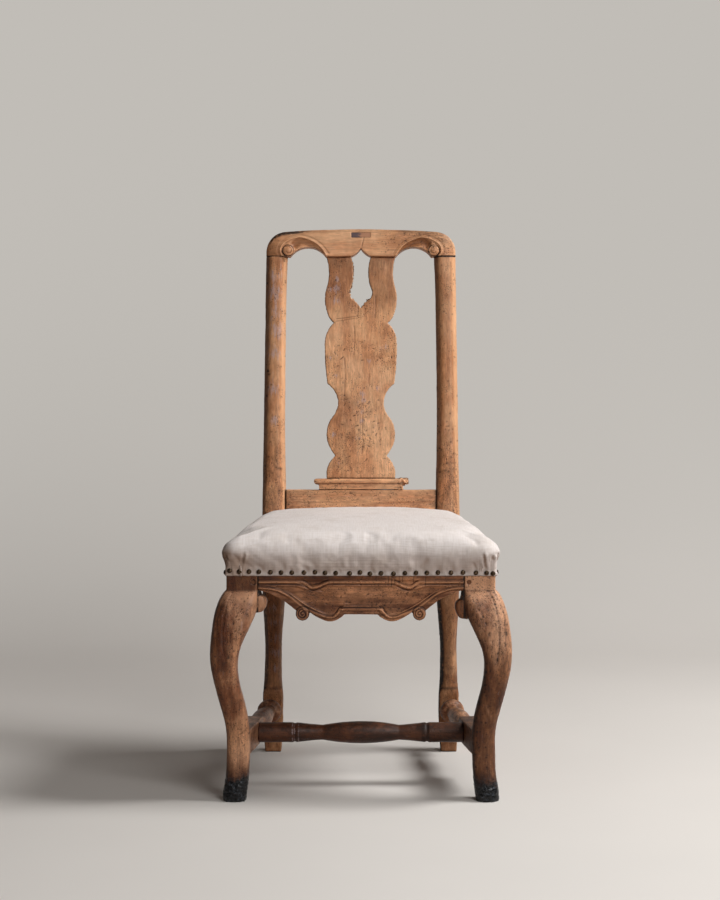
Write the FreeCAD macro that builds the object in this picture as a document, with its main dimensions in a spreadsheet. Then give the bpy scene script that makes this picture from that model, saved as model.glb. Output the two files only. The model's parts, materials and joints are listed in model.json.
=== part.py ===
"""Upholstered baroque side chair with cabriole front legs, a pierced splat and turned stretchers.

Frame, in mm: seen from the front, +X is to the right; -Y is the front and +Z is up. The origin lies
on the floor below the middle of the chair. The pieces at +X are called right and are drawn; the left
ones are their mirror images.
"""
import FreeCAD, Part
import Sketcher
import math
import os
from types import SimpleNamespace

Vector = FreeCAD.Vector

# Driving sizes: name, millimetres and meaning
SIZES = [
    # Seat frame
    ("seat_front_width", 470, "across the outer faces of the front leg blocks"),
    ("seat_rear_width", 375, "across the outer faces of the back posts at the seat"),
    ("post_setback", 372, "front rail face to front face of the back posts"),
    ("rail_top", 425, "top of the seat rails above the floor"),
    ("front_rail_thickness", 30, "front rail, face to back"),
    ("side_rail_thickness", 28, "side rails"),
    ("rear_rail_thickness", 26, "rear rail"),
    ("seat_rail_height", 48, "side and rear rails, top to bottom"),
    ("seat_tenon_thickness", 11, "tenons of the seat rails"),
    ("seat_tenon_height", 32, "tenons of the seat rails"),
    ("seat_tenon_length", 26, "tenons of the front and side rails"),
    ("rear_tenon_length", 21, "tenons of the rear rail"),
    ("joint_clearance", 0.2, "room on each side of a tenon, peg or nail"),
    ("curve_gap", 0.3, "room between curved faces that meet"),
    ("cut_overrun", 60, "how far a trimming tool reaches past the wood"),
    # Carved front rail
    ("carving_depth", 2.5, "how far beads and roundels stand out from the field"),
    ("nailing_strip", 34, "plain flat band below the top edge, under the linen"),
    ("upper_bead_drop", 37, "top edge to the upper bead"),
    ("upper_bead_width", 7, "upper bead"),
    ("lower_bead_width", 6, "bead along the scallops"),
    ("apron_depth", 106, "top edge to the lowest point of the scallops"),
    ("roundel_radius", 11.7, "carved roundels that hang from the apron"),
    ("roundel_relief", 4, "how far the roundels stand out from the field"),
    # Front legs
    ("leg_block", 55, "square block at the head of a front leg"),
    ("knee_top", 374, "underside of the leg block above the floor"),
    ("knee_scroll_width", 16, "scroll beside the knee, out from the leg"),
    ("knee_scroll_height", 34, "scroll beside the knee, top to bottom"),
    ("knee_scroll_depth", 24, "scroll beside the knee, face to back"),
    ("knee_scroll_drop", 22, "block underside to the middle of the scroll"),
    ("knee_scroll_setback", 5, "block face to the face of the scroll"),
    ("knee_scroll_rounding", 4, "rounded edges of the scroll"),
    # Back posts
    ("post_width", 44.5, "seat block of a back post, across"),
    ("post_depth", 42, "seat block of a back post, front to back"),
    ("post_block_bottom", 360, "lower end of the square seat block"),
    ("post_block_top", 455, "upper end of the square seat block"),
    ("rear_splay", 28, "rear foot behind the seat block"),
    ("rear_leg_outset", 3.5, "rear leg outside the middle of the seat block"),
    ("rear_leg_waist", 32, "thinnest part of the rear leg"),
    ("rear_foot_width", 31, "rear foot at the floor"),
    ("rear_block_width", 38, "square block of the rear leg at the stretcher"),
    ("rear_block_bottom", 62, "lower end of that block"),
    ("rear_block_top", 114, "upper end of that block"),
    ("post_head_width", 39.5, "post below the crest, across"),
    ("post_head_depth", 31, "post below the crest, front to back"),
    ("back_inset", 7, "how much narrower each side of the back is at the crest"),
    # Back
    ("back_rise", 547, "seat block top to the top of the crest, measured upright"),
    ("back_lean", 72, "how far the back leans over that rise"),
    ("crest_height", 52, "crest at its middle"),
    ("crest_thickness", 30, "crest, front to back"),
    ("crest_corner", 40, "rounded outer corners of the crest"),
    ("crest_crown_radius", 2200, "gentle arch of the crest's top edge"),
    ("crest_rounding", 6, "rounded long edges of the crest"),
    ("arch_height", 17.7, "arches beside the splat, in the crest's lower edge"),
    ("notch_height", 16, "pointed notch above the splat's opening"),
    ("volute_radius", 10.5, "carved scrolls of the crest"),
    ("volute_relief", 2.5, "how far the scrolls stand out"),
    ("patch_width", 36, "let-in patch of the crest"),
    ("patch_height", 9, "let-in patch of the crest"),
    ("patch_depth", 3, "let-in patch of the crest"),
    ("patch_lift", 36, "crest's lower edge to the patch"),
    ("crest_tenon_width", 20, "post tenon in the crest, across"),
    ("crest_tenon_thickness", 11, "post tenon in the crest, front to back"),
    ("crest_tenon_length", 25, "post tenon in the crest"),
    ("splat_width", 137, "splat at its widest"),
    ("splat_thickness", 12, "splat"),
    ("splat_inset", 10, "post face to splat face"),
    ("splat_tenon_thickness", 8, "splat tenons"),
    ("splat_tenon_length", 9, "splat tenons"),
    ("lower_rail_lift", 11, "seat block top to the lower back rail, along the back"),
    ("lower_rail_height", 45, "lower back rail"),
    ("lower_rail_thickness", 20, "lower back rail"),
    ("lower_rail_inset", 8, "post face to lower rail face"),
    ("lower_rail_tenon_length", 20, "tenons of the lower back rail"),
    ("lower_rail_tenon_height", 30, "tenons of the lower back rail"),
    ("lower_rail_tenon_thickness", 9, "tenons of the lower back rail"),
    ("plinth_width", 159, "plinth below the shoe moulding"),
    ("plinth_height", 7.5, "plinth below the shoe moulding"),
    ("plinth_depth", 24, "plinth below the shoe moulding"),
    ("shoe_width", 178, "shoe moulding below the splat"),
    ("shoe_height", 13, "shoe moulding below the splat"),
    ("shoe_depth", 32, "shoe moulding below the splat"),
    ("shoe_rounding", 5, "rounded edges of the shoe moulding"),
    # Stretchers
    ("stretcher_front_height", 99, "side stretcher axis at the front leg"),
    ("stretcher_rear_height", 85, "side stretcher axis at the rear leg"),
    ("stretcher_block_width", 36, "square front part of a side stretcher, across"),
    ("stretcher_block_height", 44, "square front part of a side stretcher, upright"),
    ("stretcher_block_end", 165, "ankle axis to the end of the square part"),
    ("stretcher_belly", 36, "thick part of the turning, diameter"),
    ("stretcher_ring", 46, "large ring by the rear leg, diameter"),
    ("stretcher_neck", 26, "necks of the turning, diameter"),
    ("stretcher_tenon", 18, "round tenons of the side stretchers, diameter"),
    ("cross_end", 36, "cross stretcher at its ends, diameter"),
    ("cross_neck", 27, "cross stretcher at its necks, diameter"),
    ("cross_middle", 40, "cross stretcher at its middle, diameter"),
    ("cross_groove", 1.5, "depth of the turned grooves"),
    ("cross_tenon", 16, "round tenons of the cross stretcher, diameter"),
    # Pegs
    ("peg_diameter", 7, "wooden pegs of the joints"),
    ("front_peg_depth", 30, "peg through the front rail's tenon"),
    ("side_peg_depth", 21, "peg through a side rail's tenon"),
    ("rear_peg_depth", 32, "peg through the rear rail's tenon"),
    ("crest_peg_depth", 22, "pegs through the posts' tenons in the crest"),
    ("lower_peg_depth", 30, "pegs through the lower back rail's tenons"),
    ("peg_drop", 37, "rail top to the pegs in the front legs"),
    # Seat
    ("webbing_width", 55, "webbing straps"),
    ("webbing_thickness", 1.6, "webbing straps"),
    ("webbing_post_gap", 5.5, "outer strap that runs front to back, to the back post"),
    ("webbing_pitch", 85, "straps that run across, middle to middle"),
    ("webbing_edge", 9, "outer face of a rail to the end of a strap"),
    ("hessian_thickness", 1, "cloth over the webbing"),
    ("hessian_edge", 7, "outer face of a rail to the hem of the hessian"),
    ("seat_crown", 55, "rail top to the top of the seat"),
    ("cover_thickness", 1.5, "linen cover"),
    ("cover_drop", 31, "rail top to the lower edge of the linen"),
    ("post_notch_gap", 1, "room between the linen and the posts"),
    ("stuffing_gap", 0.8, "room between the linen and the stuffing"),
]

# Shares, chosen by hand
# Half of a square's diagonal, for the middle of a quarter arc
DIAGONAL_SHARE = math.sqrt(0.5)
# Front leg: height of knee_top, offset and width of leg_block, corner radius of the width
ANKLE_OFFSET_SHARE = 0.152
ANKLE_WIDTH_SHARE = 0.74
LEG_SHARES = [
    (0.000, 0.262, 0.735, 0.40),
    (0.050, 0.242, 0.760, 0.42),
    (0.120, 0.178, 0.735, 0.42),
    (0.210, ANKLE_OFFSET_SHARE, ANKLE_WIDTH_SHARE, 0.38),
    (0.320, ANKLE_OFFSET_SHARE, ANKLE_WIDTH_SHARE, 0.38),
    (0.390, 0.215, 0.765, 0.40),
    (0.460, 0.320, 0.795, 0.40),
    (0.535, 0.440, 0.795, 0.40),
    (0.600, 0.525, 0.820, 0.38),
    (0.670, 0.562, 0.873, 0.36),
    (0.775, 0.455, 1.060, 0.34),
    (0.845, 0.309, 1.240, 0.32),
    (0.910, 0.178, 1.312, 0.30),
    (0.965, 0.085, 1.170, 0.22),
    (1.000, 0.000, 1.000, 0.06),
]
KNEE_REACH_SHARE = 0.5
# Rear leg between its blocks: height, waist, corner radius of the depth
REAR_BLOCK_EDGE_SHARE = 0.1
REAR_WAIST_SHARE = 0.4
REAR_LEG_SHARES = [
    (0.00, 0.00, 0.10),
    (0.08, 0.55, 0.34),
    (0.20, 0.90, 0.40),
    (REAR_WAIST_SHARE, 1.00, 0.40),
    (0.63, 0.45, 0.34),
    (0.84, 0.10, 0.22),
    (1.00, 0.00, 0.08),
]
# Share of the lean at which the post's mitre is cut
MITRE_SHARE = 0.5
# Post above the seat: height, narrowing from seat to head, corner radius of the depth
STILE_SHARES = [
    (0.000, 0.000, 0.08),
    (0.060, 0.084, 0.10),
    (0.125, 0.175, 0.20),
    (0.300, 0.660, 0.36),
    (0.600, 0.980, 0.40),
    (0.900, 0.940, 0.40),
    (1.000, 0.700, 0.36),
]
# Crest's lower edge: places across half of its width
ARCH_SHARES = (0.372, 0.562, 0.742)
NOTCH_SHARE = 0.103
NOTCH_BEND_SHARES = (0.46, 0.37)
VOLUTE_PLACE_SHARES = (0.762, 0.225)
# Splat's right edge: half width and height from the top, ends and bulges of its arcs
SPLAT_EDGE_SHARES = [
    ((0.967, 0.000), None),
    ((0.950, 0.137), (0.890, 0.061)),
    ((0.906, 0.263), (0.995, 0.204)),
    ((0.732, 0.297), (0.835, 0.284)),
    ((1.000, 0.385), (0.892, 0.326)),
    ((0.925, 0.572), (0.990, 0.470)),
    ((0.633, 0.659), (0.705, 0.612)),
    ((0.806, 0.726), (0.690, 0.697)),
    ((0.810, 0.874), (0.950, 0.799)),
    ((0.707, 0.897), None),
    ((0.950, 0.968), (0.845, 0.922)),
    ((0.947, 1.000), None),
]
# Splat's opening: half width and height from the top
OPENING_SHARES = [
    ((0.271, 0.000), None),
    ((0.276, 0.137), (0.207, 0.065)),
    ((0.262, 0.187), (0.312, 0.166)),
    ((0.000, 0.231), (0.140, 0.203)),
]
ARM_TENON_SHARES = (0.40, 0.84)
FOOT_TENON_SHARE = 0.78
# Apron's lower edge: half length between the legs, depth from block underside to lowest point
APRON_END_SHARES = [
    ((1.000, 0.000), None),
    ((0.852, 0.170), (0.925, 0.060)),
    ((0.717, 0.425), (0.776, 0.290)),
]
ROUNDEL_PLACE_SHARES = (0.566, 0.765)
ROUNDEL_MEET_SHARES = (0.890, 0.456)
APRON_LOBE_SHARES = [
    ((0.380, 0.935), (0.449, 0.820)),
    ((0.205, 0.900), (0.285, 1.000)),
    ((0.164, 0.785), (0.180, 0.850)),
]
# Beads of the apron: half length, and depth from block underside to lowest point
LOWER_BEAD_SHARES = [
    ((1.000, -0.060), None),
    ((0.840, 0.000), (0.925, -0.045)),
    ((0.640, 0.310), (0.745, 0.125)),
    ((0.390, 0.800), (0.520, 0.580)),
    ((0.215, 0.790), (0.300, 0.890)),
    ((0.170, 0.610), (0.185, 0.690)),
]
UPPER_BEAD_SHARES = [
    ((1.000, 0.00), None),
    ((0.620, 0.00), None),
    ((0.360, 0.00), (0.490, 0.85)),
]
ROUNDEL_FACE_SHARE = 0.86
# Turning of a side stretcher: start, thickest place and end of each swelling
TURNED_BEAD_SHARES = (0.02, 0.06, 0.10)
TURNED_BELLY_SHARES = (0.14, 0.36, 0.66)
TURNED_RING_SHARES = (0.75, 0.80, 0.85)
CROSS_PLACE_SHARE = 0.297
# Turning of the cross stretcher: half length, and swelling between collar and neck
CROSS_COLLAR_SHARES = (0.575, 0.605)
CROSS_NECK_SHARE = 0.34
CROSS_TAPER_SHARE = 0.4
# Pegs: how far along a tenon or across a post they sit
POST_PEG_SHARE = 0.31
REAR_PEG_SHARE = 0.2
# Seat crown: height, inset of front and sides, inset of the rear, corner radius, all of the crown
CROWN_SHARES = [
    (0.02, 0.000, 0.00, 0.08),
    (0.20, -0.085, 0.00, 0.22),
    (0.40, -0.120, 0.04, 0.36),
    (0.60, -0.050, 0.30, 0.50),
    (0.77, 0.140, 0.86, 0.62),
    (0.90, 0.520, 1.28, 0.72),
    (1.00, 1.250, 1.95, 0.80),
]


class Size:
    """A length, share or angle with its value and the sheet expression that gives it."""

    def __init__(self, value, text):
        self.value = float(value)
        self.text = text

    def __add__(self, other):
        return Size(self.value + value_of(other), f"({self.text} + {text_of(other)})")

    def __radd__(self, other):
        return Size(value_of(other) + self.value, f"({text_of(other)} + {self.text})")

    def __sub__(self, other):
        return Size(self.value - value_of(other), f"({self.text} - {text_of(other)})")

    def __rsub__(self, other):
        return Size(value_of(other) - self.value, f"({text_of(other)} - {self.text})")

    def __mul__(self, other):
        return Size(self.value * value_of(other), f"{self.text} * {text_of(other)}")

    __rmul__ = __mul__

    def __truediv__(self, other):
        return Size(self.value / value_of(other), f"{self.text} / ({text_of(other)})")

    def __neg__(self):
        return Size(-self.value, f"(-1 * {self.text})")


def value_of(item):
    return item.value if isinstance(item, Size) else float(item)


def text_of(item):
    return item.text if isinstance(item, Size) else f"({float(item)!r})"


def root(item):
    return Size(math.sqrt(item.value), f"sqrt({item.text})")


def slope_angle(across, along):
    degrees = math.degrees(math.atan(across.value / along.value))
    return Size(degrees, f"atan(({across.text}) / ({along.text}))")


QUARTER_TURN = Size(90, "90 deg")

doc = FreeCAD.newDocument("BaroqueChair")


def make_sheet():
    """Write the driving sizes into the sheet and return them by name."""
    sheet = doc.addObject("Spreadsheet::Sheet", "Sizes")
    named = {}
    for row, (alias, value, meaning) in enumerate(SIZES, start=1):
        sheet.set(f"A{row}", alias)
        sheet.set(f"B{row}", str(value))
        sheet.setAlias(f"B{row}", alias)
        sheet.set(f"C{row}", meaning)
        named[alias] = Size(value, f"Sizes.{alias}")
    doc.recompute()
    return SimpleNamespace(**named)


size = make_sheet()

# Sizes that follow from the driving ones
half_front = size.seat_front_width / 2
half_rear = size.seat_rear_width / 2
side_slope = (half_front - half_rear) / size.post_setback
side_angle = slope_angle(half_front - half_rear, size.post_setback)
block_middle = size.leg_block / 2
leg_inner = half_front - size.leg_block
post_outer = half_rear
post_inner = half_rear - size.post_width
post_back = size.post_setback + size.post_depth
post_middle = size.post_setback + size.post_depth / 2
post_middle_x = half_rear - size.post_width / 2
rear_rail_front = post_middle - size.rear_rail_thickness / 2
rear_rail_back = post_middle + size.rear_rail_thickness / 2
rail_bottom = size.rail_top - size.seat_rail_height
rail_middle = size.rail_top - size.seat_rail_height / 2
back_length = root(size.back_rise * size.back_rise + size.back_lean * size.back_lean)
back_angle = slope_angle(size.back_lean, size.back_rise)
back_sine = size.back_lean / back_length
back_cosine = size.back_rise / back_length
crest_joint = back_length - size.crest_height
head_outer = post_outer - size.back_inset
shoe_base = size.lower_rail_lift + size.lower_rail_height + size.plinth_height
splat_foot = shoe_base + size.shoe_height
splat_height = crest_joint - splat_foot
splat_half = size.splat_width / 2
origin_setback = (size.post_setback + size.back_lean + size.crest_thickness
                  - size.leg_block * KNEE_REACH_SHARE) / 2
ankle_x = half_front - block_middle + size.leg_block * ANKLE_OFFSET_SHARE
ankle_y = block_middle - size.leg_block * ANKLE_OFFSET_SHARE
ankle_back = ankle_y + size.leg_block * (ANKLE_WIDTH_SHARE / 2)
rear_leg_x = post_middle_x + size.rear_leg_outset
rear_leg_y = post_middle + size.rear_splay * (1 - size.stretcher_rear_height / size.post_block_bottom)
stretcher_across = ankle_x - rear_leg_x
stretcher_along = rear_leg_y - ankle_y
stretcher_drop = size.stretcher_front_height - size.stretcher_rear_height
stretcher_plan = root(stretcher_across * stretcher_across + stretcher_along * stretcher_along)
stretcher_length = root(stretcher_plan * stretcher_plan + stretcher_drop * stretcher_drop)
stretcher_yaw = QUARTER_TURN + slope_angle(stretcher_across, stretcher_along)
stretcher_pitch = slope_angle(stretcher_drop, stretcher_plan)
cross_x = ankle_x - stretcher_across * CROSS_PLACE_SHARE
cross_y = ankle_y + stretcher_along * CROSS_PLACE_SHARE
cross_z = size.stretcher_front_height - stretcher_drop * CROSS_PLACE_SHARE
cover_inner = size.curve_gap
cover_outer = size.curve_gap + size.cover_thickness
hessian_base = size.rail_top + size.webbing_thickness * 2
stuffing_base = hessian_base + size.hessian_thickness + size.curve_gap
front_peg_z = size.rail_top - size.peg_drop


def side_line(y):
    """Half width of the seat at the depth y."""
    return half_front - side_slope * y


def back_point(inward, up):
    """Seat-frame y and z of a place on the leaning back: inward from its face and up along it."""
    y = size.post_setback + back_sine * up + back_cosine * inward
    z = size.post_block_top + back_cosine * up - back_sine * inward
    return y, z


# Drawing helpers
def bind(item, path, amount):
    if isinstance(amount, Size):
        item.setExpression(path, amount.text)


def place(item, x=0, y=0, z=0, yaw=0, pitch=0, roll=0):
    """Set an object's Placement and bind it to the sheet."""
    rotation = FreeCAD.Rotation(value_of(yaw), value_of(pitch), value_of(roll))
    item.Placement = FreeCAD.Placement(Vector(value_of(x), value_of(y), value_of(z)), rotation)
    for path, amount in (("Base.x", x), ("Base.y", y), ("Base.z", z),
                         ("Rotation.Yaw", yaw), ("Rotation.Pitch", pitch), ("Rotation.Roll", roll)):
        bind(item, f"Placement.{path}", amount)


def seat_body(label, x=0, y=0, z=0, **turn):
    """A body in the seat frame, which starts at the middle of the front rail's face, on the floor."""
    body = doc.addObject("PartDesign::Body", label)
    body.Label = label
    place(body, x, y - origin_setback, z, **turn)
    return body


def back_body(label):
    """A body in the frame of the leaning back: z runs up along it, y goes in from its face."""
    return seat_body(label, y=size.post_setback, z=size.post_block_top, roll=-back_angle)


def origin_feature(body, role):
    return next(item for item in body.Origin.OriginFeatures if item.Role == role)


def add_sketch(body, role, lift=0):
    """An empty sketch on one of the body's own planes, lifted along the plane's normal."""
    sketch = body.newObject("Sketcher::SketchObject", "Sketch")
    sketch.AttachmentSupport = [(origin_feature(body, role), "")]
    sketch.MapMode = "FlatFace"
    sketch.AttachmentOffset = FreeCAD.Placement(Vector(0, 0, value_of(lift)), FreeCAD.Rotation())
    bind(sketch, "AttachmentOffset.Base.z", lift)
    return sketch


def flat_point(pair):
    return Vector(value_of(pair[0]), value_of(pair[1]), 0)


def pin_point(sketch, geometry, end, pair):
    """Hold one point of the sketch at a pair of sizes."""
    for kind, amount in zip(("DistanceX", "DistanceY"), pair):
        number = sketch.addConstraint(Sketcher.Constraint(kind, -1, 1, geometry, end, value_of(amount)))
        bind(sketch, f"Constraints[{number}]", amount)


def draw_outline(sketch, corners):
    """Close an outline through corners (end, bulge); an arc passes its bulge, None is a straight line."""
    edges = []
    for number, (end, bulge) in enumerate(corners):
        first = flat_point(corners[number - 1][0])
        last = flat_point(end)
        if bulge is None:
            edges.append((sketch.addGeometry(Part.LineSegment(first, last), False), 1, 2))
            continue
        arc = sketch.addGeometry(Part.Arc(first, flat_point(bulge), last), False)
        near_start = sketch.getPoint(arc, 1).distanceToPoint(first)
        forward = near_start < sketch.getPoint(arc, 2).distanceToPoint(first)
        edges.append((arc, 1, 2) if forward else (arc, 2, 1))
    joins = []
    for number, (edge, start, finish) in enumerate(edges):
        previous = edges[number - 1]
        joins.append(Sketcher.Constraint("Coincident", previous[0], previous[2], edge, start))
    sketch.addConstraint(joins)
    for (edge, start, finish), (end, bulge) in zip(edges, corners):
        pin_point(sketch, edge, finish, end)
        if bulge is not None:
            mark = sketch.addGeometry(Part.Point(flat_point(bulge)), True)
            pin_point(sketch, mark, 1, bulge)
            sketch.addConstraint(Sketcher.Constraint("PointOnObject", mark, 1, edge))
    return sketch


def draw_round_polygon(sketch, corners, radius):
    """Close an outline of straight sides with corners rounded alike; corners run anticlockwise."""
    points = [flat_point(pair) for pair in corners]
    arcs = []
    for number, point in enumerate(points):
        before = (points[number - 1] - point).normalize()
        after = (points[(number + 1) % len(points)] - point).normalize()
        half = before.getAngle(after) / 2
        middle = point + (before + after).normalize() * (radius.value / math.sin(half))
        start = point + before * (radius.value / math.tan(half)) - middle
        finish = point + after * (radius.value / math.tan(half)) - middle
        turn = math.atan2(start.y, start.x)
        sweep = (math.atan2(finish.y, finish.x) - turn) % (2 * math.pi)
        circle = Part.Circle(middle, Vector(0, 0, 1), radius.value)
        arcs.append(sketch.addGeometry(Part.ArcOfCircle(circle, turn, turn + sweep), False))
    rules = []
    lines = []
    for number, arc in enumerate(arcs):
        following = arcs[(number + 1) % len(arcs)]
        line = sketch.addGeometry(
            Part.LineSegment(sketch.getPoint(arc, 2), sketch.getPoint(following, 1)), False)
        lines.append(line)
        rules.append(Sketcher.Constraint("Tangent", arc, 2, line, 1))
        rules.append(Sketcher.Constraint("Tangent", line, 2, following, 1))
        if number:
            rules.append(Sketcher.Constraint("Equal", arcs[0], arc))
    marks = []
    for number, point in enumerate(points):
        mark = sketch.addGeometry(Part.Point(point), True)
        marks.append(mark)
        rules.append(Sketcher.Constraint("PointOnObject", mark, 1, lines[number - 1]))
        rules.append(Sketcher.Constraint("PointOnObject", mark, 1, lines[number]))
    sketch.addConstraint(rules)
    number = sketch.addConstraint(Sketcher.Constraint("Radius", arcs[0], radius.value))
    bind(sketch, f"Constraints[{number}]", radius)
    for mark, pair in zip(marks, corners):
        pin_point(sketch, mark, 1, pair)
    return sketch


def rectangle(left, right, front, back):
    return [(left, front), (right, front), (right, back), (left, back)]


def straight(pairs):
    return [(pair, None) for pair in pairs]


def backwards(path):
    """The same path run from its end to its start."""
    ends = [end for end, bulge in path]
    bulges = [bulge for end, bulge in path]
    return [(ends[-1], None)] + list(zip(reversed(ends[:-1]), reversed(bulges[1:])))


def flipped(path):
    """The path's mirror image on the other side of x = 0."""
    return [((-end[0], end[1]), None if bulge is None else (-bulge[0], bulge[1])) for end, bulge in path]


def mirrored(path):
    return backwards(flipped(path))


def scaled_path(shares, width, base, height):
    """A path of shares in real sizes: across by width, and from base by height."""
    def pair(share):
        return None if share is None else (width * share[0], base + height * share[1])
    return [(pair(end), pair(bulge)) for end, bulge in shares]


def raised(path, rise):
    return [((end[0], end[1] + rise), None if bulge is None else (bulge[0], bulge[1] + rise))
            for end, bulge in path]


def add_pad(body, sketch, length, reverse=False):
    pad = body.newObject("PartDesign::Pad", "Pad")
    pad.Profile = sketch
    pad.Reversed = reverse
    pad.Length = length.value
    bind(pad, "Length", length)
    return pad


def add_loft(body, sections, ruled=False):
    loft = body.newObject("PartDesign::AdditiveLoft", "Loft")
    loft.Profile = sections[0]
    loft.Sections = sections[1:]
    loft.Ruled = ruled
    return loft


def add_revolution(body, sketch, axis):
    turning = body.newObject("PartDesign::Revolution", "Revolution")
    turning.Profile = sketch
    turning.ReferenceAxis = (sketch, [axis])
    turning.Angle = 360
    return turning


def add_box(body, kind, lengths, **spot):
    """A box feature: lengths along x, y and z from its corner, placed in the body's frame."""
    box = body.newObject(kind, "Box")
    for name, length in zip(("Length", "Width", "Height"), lengths):
        setattr(box, name, value_of(length))
        bind(box, name, length)
    place(box, **spot)
    return box


def add_cylinder(body, kind, radius, height, **spot):
    rod = body.newObject(kind, "Rod")
    rod.Radius = radius.value
    rod.Height = height.value
    bind(rod, "Radius", radius)
    bind(rod, "Height", height)
    place(rod, **spot)
    return rod


def add_block(body, low, lengths, **turn):
    add_box(body, "PartDesign::AdditiveBox", lengths, x=low[0], y=low[1], z=low[2], **turn)


def cut_block(body, low, lengths, **turn):
    add_box(body, "PartDesign::SubtractiveBox", lengths, x=low[0], y=low[1], z=low[2], **turn)


def round_edges(body, chosen, radius):
    """Fillet the edges of the body's last feature that the test picks."""
    doc.recompute()
    base = body.Tip
    names = [f"Edge{number}" for number, edge in enumerate(base.Shape.Edges, start=1) if chosen(edge)]
    fillet = body.newObject("PartDesign::Fillet", "Fillet")
    fillet.Base = (base, names)
    fillet.Radius = radius.value
    bind(fillet, "Radius", radius)
    return fillet


def combine(kind, label, base, tool):
    """A boolean of two objects of the document."""
    result = doc.addObject(kind, label)
    result.Label = label
    result.Base = base
    result.Tool = tool
    if hasattr(result, "Refine"):
        result.Refine = True
    return result


def gather(label, members):
    compound = doc.addObject("Part::Compound", label)
    compound.Label = label
    compound.Links = members
    return compound


def mirror_piece(label, source):
    """The left-hand twin of a right-hand piece."""
    twin = doc.addObject("Part::Mirroring", label)
    twin.Label = label
    twin.Source = source
    twin.Base = Vector(0, 0, 0)
    twin.Normal = Vector(1, 0, 0)
    return twin


# Pegs: starting point, turn and depth in the seat frame, right-hand side
seat_peg_places = {
    "front": dict(depth=size.front_peg_depth, x=leg_inner + size.seat_tenon_length * POST_PEG_SHARE,
                  z=front_peg_z, roll=-90),
    "side": dict(depth=size.seat_tenon_length, x=side_line(size.leg_block - size.seat_tenon_length / 2),
                 y=size.leg_block - size.seat_tenon_length / 2, z=front_peg_z, pitch=-90),
    "post": dict(depth=size.side_peg_depth, x=post_outer,
                 y=size.post_setback + size.post_depth * POST_PEG_SHARE, z=rail_middle, pitch=-90),
    "rear": dict(depth=size.rear_peg_depth, x=post_inner + size.post_width * REAR_PEG_SHARE, y=post_back,
                 z=rail_middle, roll=90),
}
peg_radius = size.peg_diameter / 2
peg_hole_radius = peg_radius + size.joint_clearance


def cut_peg_hole(body, name, side=1):
    spot = dict(seat_peg_places[name])
    depth = spot.pop("depth")
    spot["x"] = spot["x"] if side > 0 else -spot["x"]
    add_cylinder(body, "PartDesign::SubtractiveCylinder", peg_hole_radius, depth, **spot)


# Seat joints: low corner and lengths of each right-hand tenon
def seat_tenon_boxes():
    thick = size.seat_tenon_thickness
    high = size.seat_tenon_height
    long = size.seat_tenon_length
    low_z = rail_middle - high / 2
    front_middle = size.front_rail_thickness / 2
    side_front = side_line(size.leg_block) - size.side_rail_thickness / 2
    side_rear = side_line(size.post_setback) - size.side_rail_thickness / 2
    return {
        "front": ((leg_inner, front_middle - thick / 2, low_z), (long, thick, high)),
        "side": ((side_front - thick / 2, size.leg_block - long, low_z), (thick, long, high)),
        "post": ((side_rear - thick / 2, size.post_setback, low_z), (thick, long, high)),
        "rear": ((post_inner, post_middle - thick / 2, low_z), (size.rear_tenon_length, thick, high)),
    }


seat_tenons = seat_tenon_boxes()


def cut_seat_mortise(body, name):
    """The mortise of a seat tenon, with the named clearance all round."""
    low, lengths = seat_tenons[name]
    room = size.joint_clearance
    cut_block(body, [corner - room for corner in low], [length + room * 2 for length in lengths])


# Front legs
def block_corners():
    """Plan of the leg block, whose outer face follows the side of the seat."""
    return [(leg_inner, 0), (half_front, 0), (side_line(size.leg_block), size.leg_block),
            (leg_inner, size.leg_block)]


def leg_section(body, shares):
    height, offset, width, radius = shares
    half = size.leg_block * (width / 2)
    middle_x = half_front - block_middle + size.leg_block * offset
    middle_y = block_middle - size.leg_block * offset
    corners = rectangle(middle_x - half, middle_x + half, middle_y - half, middle_y + half)
    if offset == 0:
        corners = block_corners()
    sketch = add_sketch(body, "XY_Plane", size.knee_top * height)
    return draw_round_polygon(sketch, corners, size.leg_block * (width * radius))


def make_front_leg():
    body = seat_body("front_leg_right")
    sections = [leg_section(body, shares) for shares in LEG_SHARES]
    add_loft(body, sections)
    add_pad(body, sections[-1], size.rail_top - size.knee_top)
    cut_seat_mortise(body, "front")
    cut_seat_mortise(body, "side")
    cut_peg_hole(body, "front")
    cut_peg_hole(body, "side")
    add_cylinder(body, "PartDesign::SubtractiveCylinder", size.stretcher_tenon / 2 + size.joint_clearance,
                 size.cut_overrun, x=ankle_x, y=ankle_y, z=size.stretcher_front_height,
                 yaw=stretcher_yaw, pitch=stretcher_pitch - QUARTER_TURN, roll=180)
    return body


def make_knee_scroll(label, under_side_rail):
    """Half-round scroll against the flat of the knee, under the front or the side rail."""
    body = seat_body(label)
    middle = size.knee_top - size.knee_scroll_drop
    half = size.knee_scroll_height / 2
    if under_side_rail:
        flat = size.leg_block + size.curve_gap
        far = flat + size.knee_scroll_width
        face = side_line(size.leg_block) - size.knee_scroll_setback - size.knee_scroll_depth
        sketch = add_sketch(body, "YZ_Plane", face)
    else:
        flat = leg_inner - size.curve_gap
        far = flat - size.knee_scroll_width
        sketch = add_sketch(body, "XZ_Plane", -size.knee_scroll_setback)
    draw_outline(sketch, [((flat, middle + half), (far, middle)), ((flat, middle - half), None)])
    add_pad(body, sketch, size.knee_scroll_depth, reverse=not under_side_rail)
    round_edges(body, lambda edge: edge.Curve.TypeId == "Part::GeomCircle", size.knee_scroll_rounding)
    return body


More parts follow.
